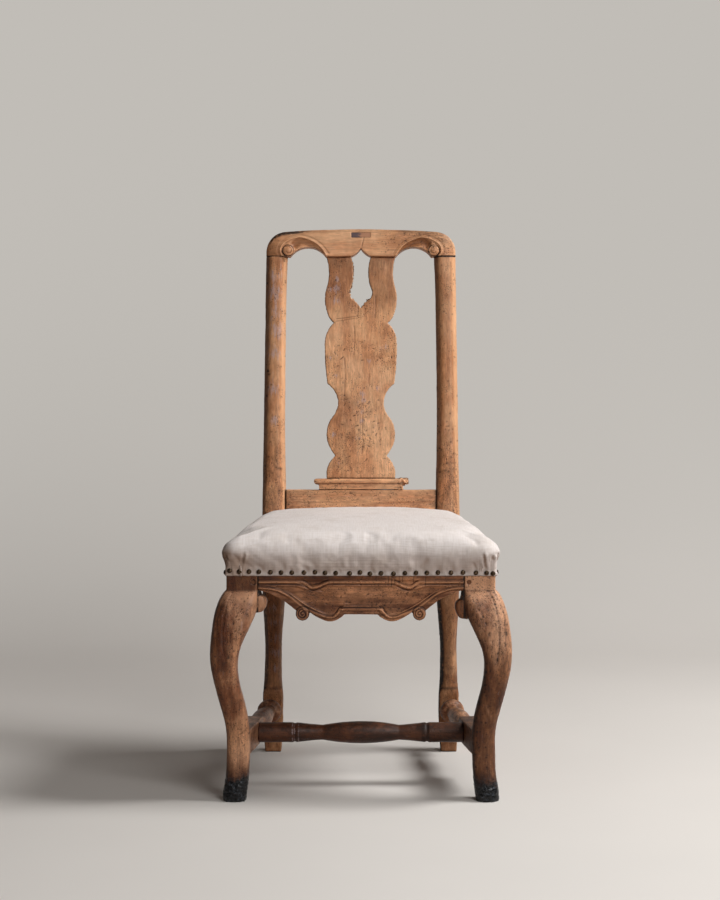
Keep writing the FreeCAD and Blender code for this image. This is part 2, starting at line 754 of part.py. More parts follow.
# Seat rails
def scallop_path():
    """Right half of the apron's outline, from the top corner to the flat middle."""
    scallop = -(size.apron_depth - size.rail_top + size.knee_top)
    path = [((leg_inner, size.rail_top), None)]
    path += scaled_path(APRON_END_SHARES, leg_inner, size.knee_top, scallop)
    radius = size.roundel_radius
    middle_x, middle_z = roundel_middle()
    meet_x = radius * ROUNDEL_MEET_SHARES[0]
    meet_z = middle_z + radius * ROUNDEL_MEET_SHARES[1]
    slant = radius * DIAGONAL_SHARE
    path.append(((middle_x + meet_x, meet_z), None))
    path.append(((middle_x, middle_z - radius), (middle_x + slant, middle_z - slant)))
    path.append(((middle_x - meet_x, meet_z), (middle_x - slant, middle_z - slant)))
    return path + scaled_path(APRON_LOBE_SHARES, leg_inner, size.knee_top, scallop)


def roundel_middle():
    scallop = size.apron_depth - size.rail_top + size.knee_top
    return leg_inner * ROUNDEL_PLACE_SHARES[0], size.knee_top - scallop * ROUNDEL_PLACE_SHARES[1]


def add_bead(body, half_path, width, sketch_lift):
    """A raised bead of even height along a path and its mirror image."""
    path = half_path + mirrored(half_path)
    sketch = draw_outline(add_sketch(body, "XZ_Plane", sketch_lift), path + backwards(raised(path, width)))
    add_pad(body, sketch, size.carving_depth)


def make_front_rail():
    body = seat_body("front_seat_rail")
    field = -size.carving_depth
    half_path = scallop_path()
    board = draw_outline(add_sketch(body, "XZ_Plane", field), half_path + mirrored(half_path))
    add_pad(body, board, size.front_rail_thickness - size.carving_depth, reverse=True)
    strip = rectangle(-leg_inner, leg_inner, size.rail_top - size.nailing_strip, size.rail_top)
    add_pad(body, draw_outline(add_sketch(body, "XZ_Plane", field), straight(strip)), size.carving_depth)
    upper = size.rail_top - size.upper_bead_drop - size.upper_bead_width
    add_bead(body, scaled_path(UPPER_BEAD_SHARES, leg_inner, upper, -size.upper_bead_width),
             size.upper_bead_width, field)
    scallop = -(size.apron_depth - size.rail_top + size.knee_top)
    add_bead(body, scaled_path(LOWER_BEAD_SHARES, leg_inner, size.knee_top, scallop),
             size.lower_bead_width, field)
    middle_x, middle_z = roundel_middle()
    for side in (1, -1):
        add_cylinder(body, "PartDesign::AdditiveCylinder", size.roundel_radius * ROUNDEL_FACE_SHARE,
                     size.roundel_relief, x=middle_x * side, y=size.carving_depth, z=middle_z, roll=90)
        low, lengths = seat_tenons["front"]
        start = low[0] if side > 0 else -low[0] - lengths[0]
        add_block(body, (start, low[1], low[2]), lengths)
        cut_peg_hole(body, "front", side)
    return body


def make_side_rail():
    body = seat_body("side_seat_rail_right")
    front = side_line(size.leg_block)
    rear = side_line(size.post_setback)
    plan = [(front - size.side_rail_thickness, size.leg_block), (front, size.leg_block),
            (rear, size.post_setback), (rear - size.side_rail_thickness, size.post_setback)]
    sketch = add_sketch(body, "XY_Plane", rail_bottom)
    add_pad(body, draw_outline(sketch, straight(plan)), size.seat_rail_height)
    for name in ("side", "post"):
        add_block(body, *seat_tenons[name])
        cut_peg_hole(body, name)
    return body


def make_rear_rail():
    body = seat_body("rear_seat_rail")
    add_block(body, (-post_inner, rear_rail_front, rail_bottom),
              (post_inner * 2, size.rear_rail_thickness, size.seat_rail_height))
    low, lengths = seat_tenons["rear"]
    for side in (1, -1):
        start = low[0] if side > 0 else -low[0] - lengths[0]
        add_block(body, (start, low[1], low[2]), lengths)
        cut_peg_hole(body, "rear", side)
    return body


# Back posts
def rear_leg_section(body, height, wide, deep, outset, radius):
    """A rounded section of the splayed rear leg at a height above the floor."""
    middle_x = post_middle_x + outset
    middle_y = post_middle + size.rear_splay * (1 - height / size.post_block_bottom)
    corners = rectangle(middle_x - wide / 2, middle_x + wide / 2, middle_y - deep / 2, middle_y + deep / 2)
    return draw_round_polygon(add_sketch(body, "XY_Plane", height), corners, radius)


def stile_section(body, shares):
    """A rounded section of the post above the seat; the lowest is the mitre where the back starts to lean."""
    share, narrowing, rounding = shares
    up = crest_joint * share
    outer = post_outer - size.back_inset * share
    wide = size.post_width + (size.post_head_width - size.post_width) * narrowing
    deep = size.post_depth + (size.post_head_depth - size.post_depth) * share
    tilt = back_angle * (MITRE_SHARE if share == 0 else 1)
    y, z = back_point(0, up)
    sketch = add_sketch(body, "XY_Plane", z)
    sketch.AttachmentOffset = FreeCAD.Placement(
        Vector(0, y.value, z.value), FreeCAD.Rotation(Vector(-1, 0, 0), tilt.value))
    bind(sketch, "AttachmentOffset.Base.y", y)
    bind(sketch, "AttachmentOffset.Rotation.Angle", tilt)
    return draw_round_polygon(sketch, rectangle(outer - wide, outer, 0, deep), deep * rounding)


def make_back_post():
    body = seat_body("back_post_right")
    block = size.rear_block_width
    foot = size.rear_foot_width
    outset = size.rear_leg_outset
    floor = rear_leg_section(body, 0 * foot, foot, foot, outset, foot * REAR_BLOCK_EDGE_SHARE)
    block_foot = rear_leg_section(body, size.rear_block_bottom, block, block, outset,
                                  block * REAR_BLOCK_EDGE_SHARE)
    shaft = []
    for share, waist, rounding in REAR_LEG_SHARES:
        height = size.rear_block_top + (size.post_block_bottom - size.rear_block_top) * share
        above = share > REAR_WAIST_SHARE
        wide = (size.post_width if above else block) * (1 - waist) + size.rear_leg_waist * waist
        deep = (size.post_depth if above else block) * (1 - waist) + size.rear_leg_waist * waist
        shaft.append(rear_leg_section(body, height, wide, deep, outset * (1 - share), deep * rounding))
    stile = [stile_section(body, shares) for shares in STILE_SHARES]
    add_loft(body, [floor, block_foot], ruled=True)
    add_loft(body, [block_foot, shaft[0]], ruled=True)
    add_loft(body, shaft)
    add_loft(body, [shaft[-1], stile[0]], ruled=True)
    add_loft(body, stile)
    low, lengths = crest_tenon
    y, z = back_point(low[1], low[2])
    add_block(body, (low[0], y, z), lengths, roll=-back_angle)
    cut_seat_mortise(body, "post")
    cut_seat_mortise(body, "rear")
    low, lengths = with_room(lower_rail_tenon)
    y, z = back_point(low[1], low[2])
    cut_block(body, (low[0], y, z), lengths, roll=-back_angle)
    cut_peg_hole(body, "post")
    cut_peg_hole(body, "rear")
    for name in ("head", "lower"):
        cut_back_peg_hole(body, name)
    add_cylinder(body, "PartDesign::SubtractiveCylinder", size.stretcher_tenon / 2 + size.joint_clearance,
                 size.cut_overrun, x=rear_leg_x, y=rear_leg_y, z=size.stretcher_rear_height,
                 yaw=stretcher_yaw, pitch=stretcher_pitch - QUARTER_TURN)
    return body


# Back: low corner and lengths of the right-hand joints, in the frame of the back
def back_joints():
    head_middle = head_outer - size.post_head_width / 2
    crest = ((head_middle - size.crest_tenon_width / 2,
              (size.crest_thickness - size.crest_tenon_thickness) / 2, crest_joint),
             (size.crest_tenon_width, size.crest_tenon_thickness, size.crest_tenon_length))
    rail_in = size.lower_rail_inset + (size.lower_rail_thickness - size.lower_rail_tenon_thickness) / 2
    rail_up = size.lower_rail_lift + (size.lower_rail_height - size.lower_rail_tenon_height) / 2
    lower = ((post_inner - size.curve_gap, rail_in, rail_up),
             (size.lower_rail_tenon_length, size.lower_rail_tenon_thickness, size.lower_rail_tenon_height))
    splat_in = size.splat_inset + (size.splat_thickness - size.splat_tenon_thickness) / 2
    arm = ((splat_half * ARM_TENON_SHARES[0], splat_in, crest_joint),
           (splat_half * (ARM_TENON_SHARES[1] - ARM_TENON_SHARES[0]), size.splat_tenon_thickness,
            size.splat_tenon_length))
    foot = ((-splat_half * FOOT_TENON_SHARE, splat_in, splat_foot - size.splat_tenon_length),
            (splat_half * (2 * FOOT_TENON_SHARE), size.splat_tenon_thickness, size.splat_tenon_length))
    return crest, lower, arm, foot


def with_room(joint):
    """A joint's box grown by the clearance on every side."""
    low, lengths = joint
    room = size.joint_clearance
    return [corner - room for corner in low], [length + room * 2 for length in lengths]


def other_side(joint):
    """The same box mirrored to the left."""
    low, lengths = joint
    return (-low[0] - lengths[0], low[1], low[2]), lengths


crest_tenon, lower_rail_tenon, arm_tenon, foot_tenon = back_joints()

# Pegs of the back: x, depth in from the face and height along it, right-hand side
lower_peg_up = lower_rail_tenon[0][2] + size.lower_rail_tenon_height / 2
back_peg_places = {
    "head": (crest_tenon[0][0] + size.crest_tenon_width / 2, size.crest_thickness,
             crest_joint + size.crest_tenon_length / 2, size.crest_peg_depth),
    "lower": (post_inner + size.lower_rail_tenon_length / 2,
              size.post_depth + (size.post_head_depth - size.post_depth) * (lower_peg_up / crest_joint),
              lower_peg_up, size.lower_peg_depth),
}


def cut_back_peg_hole(body, name):
    x, inward, up, depth = back_peg_places[name]
    y, z = back_point(inward, up)
    add_cylinder(body, "PartDesign::SubtractiveCylinder", peg_hole_radius, depth,
                 x=x, y=y, z=z, roll=QUARTER_TURN - back_angle)


def crest_outline():
    base = crest_joint
    top = base + size.crest_height
    outer = head_outer
    corner = size.crest_corner
    crown = size.crest_crown_radius
    middle_x = outer - corner
    rise = root((crown - corner) * (crown - corner) - middle_x * middle_x)
    middle_z = top - crown + rise
    blend = crown / (crown - corner)
    meet = (middle_x * blend, top - crown + rise * blend)
    bend = (middle_x + corner * DIAGONAL_SHARE, middle_z + corner * DIAGONAL_SHARE)
    upper = [((outer, base), None), ((outer, middle_z), None), (meet, bend)]
    near, middle, far = (outer * share for share in ARCH_SHARES)
    notch = outer * NOTCH_SHARE
    tip = (notch * 0, base + size.notch_height)
    notch_bend = (notch * NOTCH_BEND_SHARES[0], base + size.notch_height * NOTCH_BEND_SHARES[1])
    lower = [((far, base), None), ((near, base), (middle, base + size.arch_height)),
             ((notch, base), None), (tip, notch_bend)]
    left_upper = mirrored(upper)
    left_upper[0] = (left_upper[0][0], (notch * 0, top))
    return upper + left_upper + flipped(lower) + backwards(lower)[1:]


def make_crest():
    body = back_body("crest_rail")
    board = draw_outline(add_sketch(body, "XZ_Plane"), crest_outline())
    add_pad(body, board, size.crest_thickness, reverse=True)
    clear = crest_joint + size.arch_height + size.crest_rounding / 2
    faces = (0, size.crest_thickness.value)

    def long_edge(edge):
        spot = edge.valueAt(edge.getParameterByLength(edge.Length / 2))
        on_face = min(abs(spot.y - face) for face in faces) < size.joint_clearance.value
        outside = abs(spot.x) > head_outer.value - size.joint_clearance.value or spot.z > clear.value
        return on_face and outside

    round_edges(body, long_edge, size.crest_rounding)
    for side in (1, -1):
        add_cylinder(body, "PartDesign::AdditiveCylinder", size.volute_radius, size.volute_relief,
                     x=head_outer * (VOLUTE_PLACE_SHARES[0] * side),
                     z=crest_joint + size.crest_height * VOLUTE_PLACE_SHARES[1], roll=90)
        for joint in (crest_tenon, arm_tenon):
            cut_block(body, *with_room(joint if side > 0 else other_side(joint)))
        x, inward, up, depth = back_peg_places["head"]
        add_cylinder(body, "PartDesign::SubtractiveCylinder", peg_hole_radius, depth,
                     x=x * side, y=inward, z=up, roll=90)
    low, lengths = with_room(patch_box)
    cut_block(body, low, lengths)
    return body


patch_box = ((-size.patch_width / 2, 0 * size.patch_depth, crest_joint + size.patch_lift),
             (size.patch_width, size.patch_depth, size.patch_height))


def make_crest_patch():
    body = back_body("crest_patch")
    add_block(body, *patch_box)
    return body


def make_splat():
    body = back_body("back_splat")
    edge = scaled_path(SPLAT_EDGE_SHARES, splat_half, crest_joint, -splat_height)
    opening = scaled_path(OPENING_SHARES, splat_half, crest_joint, -splat_height)
    outline = edge + mirrored(edge) + flipped(opening) + backwards(opening)[1:]
    add_pad(body, draw_outline(add_sketch(body, "XZ_Plane", -size.splat_inset), outline),
            size.splat_thickness, reverse=True)
    for joint in (arm_tenon, other_side(arm_tenon), foot_tenon):
        add_block(body, *joint)
    return body


def make_lower_back_rail():
    body = back_body("lower_back_rail")
    half = post_inner - size.curve_gap
    add_block(body, (-half, size.lower_rail_inset, size.lower_rail_lift),
              (half * 2, size.lower_rail_thickness, size.lower_rail_height))
    x, inward, up, depth = back_peg_places["lower"]
    for side in (1, -1):
        add_block(body, *(lower_rail_tenon if side > 0 else other_side(lower_rail_tenon)))
        add_cylinder(body, "PartDesign::SubtractiveCylinder", peg_hole_radius, depth,
                     x=x * side, y=inward, z=up, roll=90)
    return body


def make_splat_shoe():
    body = back_body("splat_shoe")
    middle = size.lower_rail_inset + size.lower_rail_thickness / 2
    add_block(body, (-size.shoe_width / 2, middle - size.shoe_depth / 2, shoe_base),
              (size.shoe_width, size.shoe_depth, size.shoe_height))
    round_edges(body, lambda edge: True, size.shoe_rounding)
    add_block(body, (-size.plinth_width / 2, middle - size.plinth_depth / 2, shoe_base - size.plinth_height),
              (size.plinth_width, size.plinth_depth, size.plinth_height))
    cut_block(body, *with_room(foot_tenon))
    return body


# Stretchers
def stretcher_body(label):
    """A body along a side stretcher: x runs from the ankle to the rear leg, y goes inwards."""
    return seat_body(label, x=ankle_x, y=ankle_y, z=size.stretcher_front_height,
                     yaw=stretcher_yaw, pitch=stretcher_pitch)


def make_stretcher_blank():
    body = stretcher_body("side_stretcher_blank")
    start = size.stretcher_block_end
    span = stretcher_length - start
    neck = size.stretcher_neck / 2

    def at(share):
        return start + span * share

    bead = [at(share) for share in TURNED_BEAD_SHARES]
    belly = [at(share) for share in TURNED_BELLY_SHARES]
    ring = [at(share) for share in TURNED_RING_SHARES]
    outline = [
        ((start, 0), None), ((start, neck), None), ((bead[0], neck), None),
        ((bead[2], neck), (bead[1], size.stretcher_belly / 2)), ((belly[0], neck), None),
        ((belly[2], neck), (belly[1], size.stretcher_belly / 2)), ((ring[0], neck), None),
        ((ring[2], neck), (ring[1], size.stretcher_ring / 2)), ((stretcher_length, neck), None),
        ((stretcher_length, 0), None)]
    add_revolution(body, draw_outline(add_sketch(body, "XY_Plane"), outline), "H_Axis")
    add_block(body, (0, -size.stretcher_block_width / 2, -size.stretcher_block_height / 2),
              (size.stretcher_block_end, size.stretcher_block_width, size.stretcher_block_height))
    return body


def make_rod(label, radius, length, **spot):
    """A plain rod, used as a tenon or as the tool that bores for one."""
    body = seat_body(label)
    add_cylinder(body, "PartDesign::AdditiveCylinder", radius, length, **spot)
    return body


def make_stretcher_trims():
    """Tools that cut a side stretcher off at the ankle and at the rear leg."""
    reach = size.cut_overrun
    front = seat_body("ankle_trim")
    add_block(front, (ankle_x - reach, ankle_back + size.curve_gap - reach,
                      size.stretcher_front_height - reach), (reach * 2, reach, reach * 2))
    rear = seat_body("rear_leg_trim")
    face = rear_leg_y - size.rear_block_width / 2 - size.curve_gap
    lean = size.rear_splay / size.post_block_bottom
    add_block(rear, (rear_leg_x - reach, face + reach * lean, size.stretcher_rear_height - reach),
              (reach * 2, reach, reach * 2), roll=slope_angle(size.rear_splay, size.post_block_bottom))
    return front, rear


def make_side_stretcher():
    trimmed = make_stretcher_blank()
    for trim in make_stretcher_trims():
        trimmed = combine("Part::Cut", f"stretcher_without_{trim.Label}", trimmed, trim)
    core = stretcher_body("side_stretcher_core")
    add_cylinder(core, "PartDesign::AdditiveCylinder", size.stretcher_tenon / 2, stretcher_length, pitch=90)
    joined = combine("Part::Fuse", "stretcher_with_tenons", trimmed, core)
    bore = make_rod("cross_bore", size.cross_tenon / 2 + size.joint_clearance, size.cut_overrun,
                    x=cross_x, y=cross_y, z=cross_z, pitch=-90)
    return combine("Part::Cut", "side_stretcher_right", joined, bore)


def make_cross_stretcher():
    body = seat_body("cross_stretcher_blank", y=cross_y, z=cross_z)
    end = size.cross_end / 2
    neck = size.cross_neck / 2
    groove = end - size.cross_groove
    inner, outer = (cross_x * share for share in CROSS_COLLAR_SHARES)
    narrow = cross_x * CROSS_NECK_SHARE
    swell = ((inner + narrow) / 2, end * CROSS_TAPER_SHARE + neck * (1 - CROSS_TAPER_SHARE))
    half = [((cross_x, 0), None), ((cross_x, end), None), ((outer, end), None), ((outer, groove), None),
            ((inner, groove), None), ((inner, end), None), ((narrow, neck), swell)]
    other = mirrored(half)
    other[0] = (other[0][0], (cross_x * 0, size.cross_middle / 2))
    add_revolution(body, draw_outline(add_sketch(body, "XY_Plane"), half + other), "H_Axis")
    tool = stretcher_body("cross_trim")
    reach = size.cut_overrun
    add_block(tool, (0, size.stretcher_block_width / 2 - reach, -reach),
              (stretcher_length, reach, reach * 2))
    trimmed = combine("Part::Cut", "cross_without_right_end", body, tool)
    trimmed = combine("Part::Cut", "cross_without_left_end", trimmed, mirror_piece("cross_trim_left", tool))
    core = make_rod("cross_core", size.cross_tenon / 2, cross_x * 2,
                    x=-cross_x, y=cross_y, z=cross_z, pitch=90)
    return combine("Part::Fuse", "cross_stretcher", trimmed, core)


# Pegs
def make_seat_pegs():
    body = seat_body("seat_rail_pegs_right")
    for place_of_peg in seat_peg_places.values():
        spot = dict(place_of_peg)
        add_cylinder(body, "PartDesign::AdditiveCylinder", peg_radius, spot.pop("depth"), **spot)
    return body


def make_back_pegs():
    body = back_body("back_pegs_right")
    for x, inward, up, depth in back_peg_places.values():
        add_cylinder(body, "PartDesign::AdditiveCylinder", peg_radius, depth, x=x, y=inward, z=up, roll=90)
    return body


# Seat: webbing, hessian, stuffing and linen
def strap_outline(stations):
    path = straight(stations)
    return path + backwards(raised(path, size.webbing_thickness))


def strap_stations(start, first_edge, crossings, first_over, last_edge, end):
    """Lower side of a strap that goes over and under the straps that it crosses."""
    step = (size.webbing_thickness + size.curve_gap) / 2
    flat = size.webbing_width / 2 + size.webbing_thickness
    stations = [(start, size.rail_top), (first_edge, size.rail_top)]
    for number, crossing in enumerate(crossings):
        over = (number % 2 == 0) == first_over
        level = size.rail_top + step if over else size.rail_top - step
        stations += [(crossing - flat, level), (crossing + flat, level)]
    return stations + [(last_edge, size.rail_top), (end, size.rail_top)]


STRAP_STEPS = (-1, 0, 1)
seat_middle = (size.front_rail_thickness + rear_rail_front) / 2
lane_pitch = post_inner - size.webbing_post_gap - size.webbing_width / 2
strap_lanes = [lane_pitch * step for step in STRAP_STEPS]
strap_rows = [seat_middle + size.webbing_pitch * step for step in STRAP_STEPS]


def make_lane_strap(number):
    """A strap from the front rail to the rear rail."""
    body = seat_body(f"webbing_long_{number + 1}")
    stations = strap_stations(size.webbing_edge, size.front_rail_thickness, strap_rows, number % 2 == 0,
                              rear_rail_front, rear_rail_back - size.webbing_edge)
    sketch = add_sketch(body, "YZ_Plane", strap_lanes[number] - size.webbing_width / 2)
    add_pad(body, draw_outline(sketch, strap_outline(stations)), size.webbing_width)
    return body


def make_row_strap(number):
    """A strap from one side rail to the other."""
    body = seat_body(f"webbing_cross_{number + 1}")
    near = strap_rows[number] - size.webbing_width / 2
    narrow = side_line(strap_rows[number] + size.webbing_width / 2)
    end = narrow - size.webbing_edge
    edge = narrow - size.side_rail_thickness
    stations = strap_stations(-end, -edge, strap_lanes, number % 2 == 1, edge, end)
    sketch = add_sketch(body, "XZ_Plane", -near)
    add_pad(body, draw_outline(sketch, strap_outline(stations)), size.webbing_width, reverse=True)
    return body


def make_hessian():
    body = seat_body("seat_hessian")
    edge = size.hessian_edge
    notch_y = size.post_setback - size.post_notch_gap
    notch_x = post_inner - size.post_notch_gap
    rear = rear_rail_back - edge
    path = straight([(notch_x, rear), (notch_x, notch_y), (side_line(notch_y) - edge, notch_y),
                     (side_line(edge) - edge, edge)])
    add_pad(body, draw_outline(add_sketch(body, "XY_Plane", hessian_base), path + mirrored(path)),
            size.hessian_thickness)
    return body


def seat_plan(grow, inset, rear_inset):
    """Plan of the seat, grown past the rails and drawn in by the insets."""
    front = inset - grow
    rear = rear_rail_back + grow - rear_inset
    front_half = side_line(front) - front
    rear_half = side_line(rear) - front
    return [(-front_half, front), (front_half, front), (rear_half, rear), (-rear_half, rear)]


def crown_sections(body, grow, crown, first_height=None):
    """Sections of the crowned seat; the first may start at another height."""
    sections = []
    for height, inset, rear_inset, radius in CROWN_SHARES:
        level = size.rail_top + crown * height
        if first_height is not None and not sections:
            level = first_height
        plan = seat_plan(grow, size.seat_crown * inset, size.seat_crown * rear_inset)
        sketch = add_sketch(body, "XY_Plane", level)
        sections.append(draw_round_polygon(sketch, plan, size.seat_crown * radius))
    return sections


def make_cover_form(label, grow, crown, hem):
    """A solid with an upright skirt from the hem and a crowned top."""
    body = seat_body(label)
    plan = seat_plan(grow, 0, 0)
    skirt = draw_round_polygon(add_sketch(body, "XY_Plane", hem), plan, size.seat_crown * CROWN_SHARES[0][3])
    add_pad(body, skirt, size.rail_top + crown * CROWN_SHARES[0][0] - hem)
    add_loft(body, crown_sections(body, grow, crown))
    return body


def make_post_notches():
    """Tools that make room for the posts in the soft layers."""
    body = seat_body("post_notch")
    reach = size.cut_overrun
    gap = size.post_notch_gap
    add_block(body, (post_inner - gap, size.post_setback - gap, size.rail_top - reach),
              (reach * 2, reach * 2, reach * 3))
    return gather("post_notches", [body, mirror_piece("post_notch_left", body)])


def make_stuffing(notches):
    body = seat_body("seat_stuffing_blank")
    grow = cover_inner - size.stuffing_gap
    crown = size.seat_crown - size.cover_thickness - size.stuffing_gap
    add_loft(body, crown_sections(body, grow, crown, stuffing_base))
    return combine("Part::Cut", "seat_stuffing", body, notches)


def make_cover(notches):
    hem = size.rail_top - size.cover_drop
    outside = make_cover_form("cover_outside", cover_outer, size.seat_crown, hem)
    inside = make_cover_form("cover_inside", cover_inner, size.seat_crown - size.cover_thickness,
                             hem - size.cover_thickness)
    shell = combine("Part::Cut", "cover_shell", outside, inside)
    return combine("Part::Cut", "seat_cover", shell, notches)


def build_chair():
    """Make every sub-part and return the finished ones."""
    right = [
        make_front_leg(),
        make_knee_scroll("knee_scroll_front_right", False),
        make_knee_scroll("knee_scroll_side_right", True),
        make_side_rail(),
        make_back_post(),
        make_side_stretcher(),
        make_seat_pegs(),
        make_back_pegs(),
    ]
    left = [mirror_piece(piece.Label.replace("right", "left"), piece) for piece in right]
    notches = make_post_notches()
    middle = [
        make_front_rail(),
        make_rear_rail(),
        make_crest(),
        make_crest_patch(),
        make_splat(),
        make_lower_back_rail(),
        make_splat_shoe(),
        make_cross_stretcher(),
        make_hessian(),
        make_stuffing(notches),
        make_cover(notches),
    ]
    numbers = range(len(STRAP_STEPS))
    straps = [make_lane_strap(number) for number in numbers] + [make_row_strap(number) for number in numbers]
    return right + left + middle + straps


def check_document(pieces):
    """Stop on any object that failed and on any sub-part without a sound solid."""
    for item in doc.Objects:
        if {"Invalid", "Error"} & set(item.State):
            raise RuntimeError(f"{item.Label} failed: {item.State}")
    for piece in pieces:
        shape = piece.Shape
        if shape.isNull() or not shape.isValid() or not shape.Solids:
            raise RuntimeError(f"{piece.Label} has no sound solid")


def main():
    pieces = build_chair()
    doc.recompute()
    check_document(pieces)
    os.makedirs("parts", exist_ok=True)
    for piece in pieces:
        piece.Shape.exportStep(f"parts/{piece.Label}.step")
        print(f"{piece.Label}: {len(piece.Shape.Solids)} solids, {piece.Shape.Volume:.0f} cubic mm")


main()
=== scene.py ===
"""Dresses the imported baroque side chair: worn carved wood, a nailed linen seat and the webbing under it.

Tables are in millimetres unless their heading says metres: x to the right seen from the front, y to the rear, z up.
"""
import json
import math
import random

import bmesh
import bpy
import numpy as np
from bpy.props import FloatProperty, FloatVectorProperty, IntProperty, PointerProperty
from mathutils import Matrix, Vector

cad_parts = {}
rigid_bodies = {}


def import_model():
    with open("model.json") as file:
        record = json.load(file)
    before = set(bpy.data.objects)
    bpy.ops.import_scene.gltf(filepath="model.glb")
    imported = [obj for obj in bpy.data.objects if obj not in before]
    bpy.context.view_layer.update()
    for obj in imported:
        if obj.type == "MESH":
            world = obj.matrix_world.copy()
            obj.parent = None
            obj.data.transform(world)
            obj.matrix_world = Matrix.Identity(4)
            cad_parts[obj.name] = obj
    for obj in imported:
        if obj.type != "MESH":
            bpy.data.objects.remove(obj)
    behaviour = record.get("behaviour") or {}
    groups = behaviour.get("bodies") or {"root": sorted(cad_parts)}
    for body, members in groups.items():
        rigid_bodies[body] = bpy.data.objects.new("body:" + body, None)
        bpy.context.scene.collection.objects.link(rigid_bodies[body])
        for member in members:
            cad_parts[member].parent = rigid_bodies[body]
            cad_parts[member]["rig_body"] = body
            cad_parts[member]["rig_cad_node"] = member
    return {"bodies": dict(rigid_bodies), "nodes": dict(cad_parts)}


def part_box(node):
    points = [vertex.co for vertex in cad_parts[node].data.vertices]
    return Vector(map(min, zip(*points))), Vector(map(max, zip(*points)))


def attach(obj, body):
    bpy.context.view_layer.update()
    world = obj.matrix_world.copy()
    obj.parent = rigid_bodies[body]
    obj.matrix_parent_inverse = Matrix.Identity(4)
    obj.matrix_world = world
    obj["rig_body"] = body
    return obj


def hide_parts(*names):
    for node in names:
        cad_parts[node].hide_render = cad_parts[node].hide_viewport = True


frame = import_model()
for leftover in [o for o in bpy.data.objects if o.parent is None and o not in frame["bodies"].values()]:
    bpy.data.objects.remove(leftover)
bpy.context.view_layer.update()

bl_info = {
    "name": "Baroque side chair",
    "version": (1, 0, 0),
    "blender": (4, 5, 0),
    "location": "3D View > Sidebar > Chair",
    "description": "Worn wood, linen seat, dome nails and webbing for the packed chair",
    "category": "Object",
}


def linear(red, green, blue):
    """A colour in screen steps of 0 to 255, as the light values that a colour socket takes."""
    shares = [step / 255 for step in (red, green, blue)]
    return tuple(s / 12.92 if s <= 0.04045 else ((s + 0.055) / 1.055) ** 2.4 for s in shares)


def colour_property(name, description, screen):
    return FloatVectorProperty(name=name, description=description, subtype="COLOR", size=3, min=0, max=1,
                               default=linear(*screen))


def length_property(name, description, default):
    return FloatProperty(name=name, description=description, default=default, min=0, unit="LENGTH", precision=4)


def amount_property(name, description, default, **limits):
    return FloatProperty(name=name, description=description, default=default, **{"min": 0, **limits})


# What a user may change
class ChairWood(bpy.types.PropertyGroup):
    """Colours of the wood, the marks of use on it, and the painted shade and highlights"""

    back_light: colour_property("Back, light", "Rubbed wood of the back", (242, 188, 143))
    back_mid: colour_property("Back, middle", "Wood of the back between the grain", (220, 158, 114))
    leg_light: colour_property("Legs, light", "Rubbed wood of the legs", (228, 174, 136))
    leg_mid: colour_property("Legs, middle", "Wood of the legs between the grain", (146, 93, 64))
    rail_light: colour_property("Apron, light", "Rubbed wood of the seat rails", (218, 157, 115))
    rail_mid: colour_property("Apron, middle", "Wood of the seat rails between the grain", (122, 75, 50))
    bar_light: colour_property("Cross stretcher, light", "Rubbed wood of the cross stretcher", (112, 68, 45))
    bar_mid: colour_property("Cross stretcher, middle", "Foot-worn wood of the cross stretcher", (62, 36, 23))
    # The dark colour also darkens hollows, as patina there and as painted shade
    dark: colour_property("Polish", "Dark grain and old polish", (88, 50, 29))
    # This colour also paints shade on sides turned from the light and in gaps
    grime: colour_property("Grime", "Dirt in the cuts, joints and recesses", (26, 16, 11))
    paint: colour_property("Paint", "Traces of an old lilac-grey paint", (188, 166, 166))
    hoof: colour_property("Hoof", "Black paint of the front feet", (12, 12, 14))
    patch: colour_property("Patch", "Let-in repair at the middle of the crest", (186, 134, 102))
    peg: colour_property("Pegs", "End grain of the joint pegs", (120, 78, 52))
    grid: length_property("Grid", "Mesh step of the worn wood", 0.0014)
    dent: length_property("Dents", "Depth of the uneven, hand-worked surface", 0.0011)


class ChairSeat(bpy.types.PropertyGroup):
    """The linen seat, its nails and the cloth below it"""

    linen: colour_property("Linen", "Unbleached linen cover", (233, 225, 221))
    stain: colour_property("Stains", "Faint marks on the linen", (206, 193, 182))
    nail: colour_property("Nails", "Dark bronze of the dome nails", (98, 80, 64))
    webbing: colour_property("Webbing", "Jute straps", (150, 118, 82))
    hessian: colour_property("Hessian", "Coarse jute cloth", (164, 134, 96))
    linen_pitch: length_property("Linen thread", "Distance between two threads", 0.0011)
    linen_thickness: length_property("Linen thickness", "Thickness of the cover", 0.0011)
    nail_width: length_property("Nail head", "Width of a dome", 0.0088)
    nail_spacing: length_property("Nail spacing", "Distance between nails on the sides and the rear", 0.0186)
    nail_height: length_property("Nail row", "Height of the row above the floor", 0.4055)
    pressure: amount_property("Stuffing", "Pressure under the linen", 3.0)
    seed: IntProperty(name="Seed", description="Start of the chance marks and spacing", default=7, min=0)


class ChairStage(bpy.types.PropertyGroup):
    """Floor, lights and camera"""

    floor: colour_property("Floor", "Floor round the chair", (222, 217, 211))
    backdrop: colour_property("Backdrop", "What is seen far behind the chair", (193, 189, 183))
    key_power: amount_property("Key light", "Lamp high at the right", 110.0, unit="POWER")
    fill_power: amount_property("Fill light", "Large lamp at the front", 58.0, unit="POWER")
    sky: amount_property("Room light", "Even light from all sides", 0.11)
    lens: amount_property("Lens", "Focal length on a 36 mm high film", 95.1, min=1)


def wood():
    return bpy.context.scene.chair_wood


def seat():
    return bpy.context.scene.chair_seat


def tones(part):
    """The light and the middle colour of the wood of a part."""
    return getattr(wood(), part + "_light"), getattr(wood(), part + "_mid")


def opaque(colour):
    return (*colour, 1.0)


def darker(colour, share):
    return tuple(value * share for value in colour)


# Object tools
MM = 0.001
MERGE = 0.00002


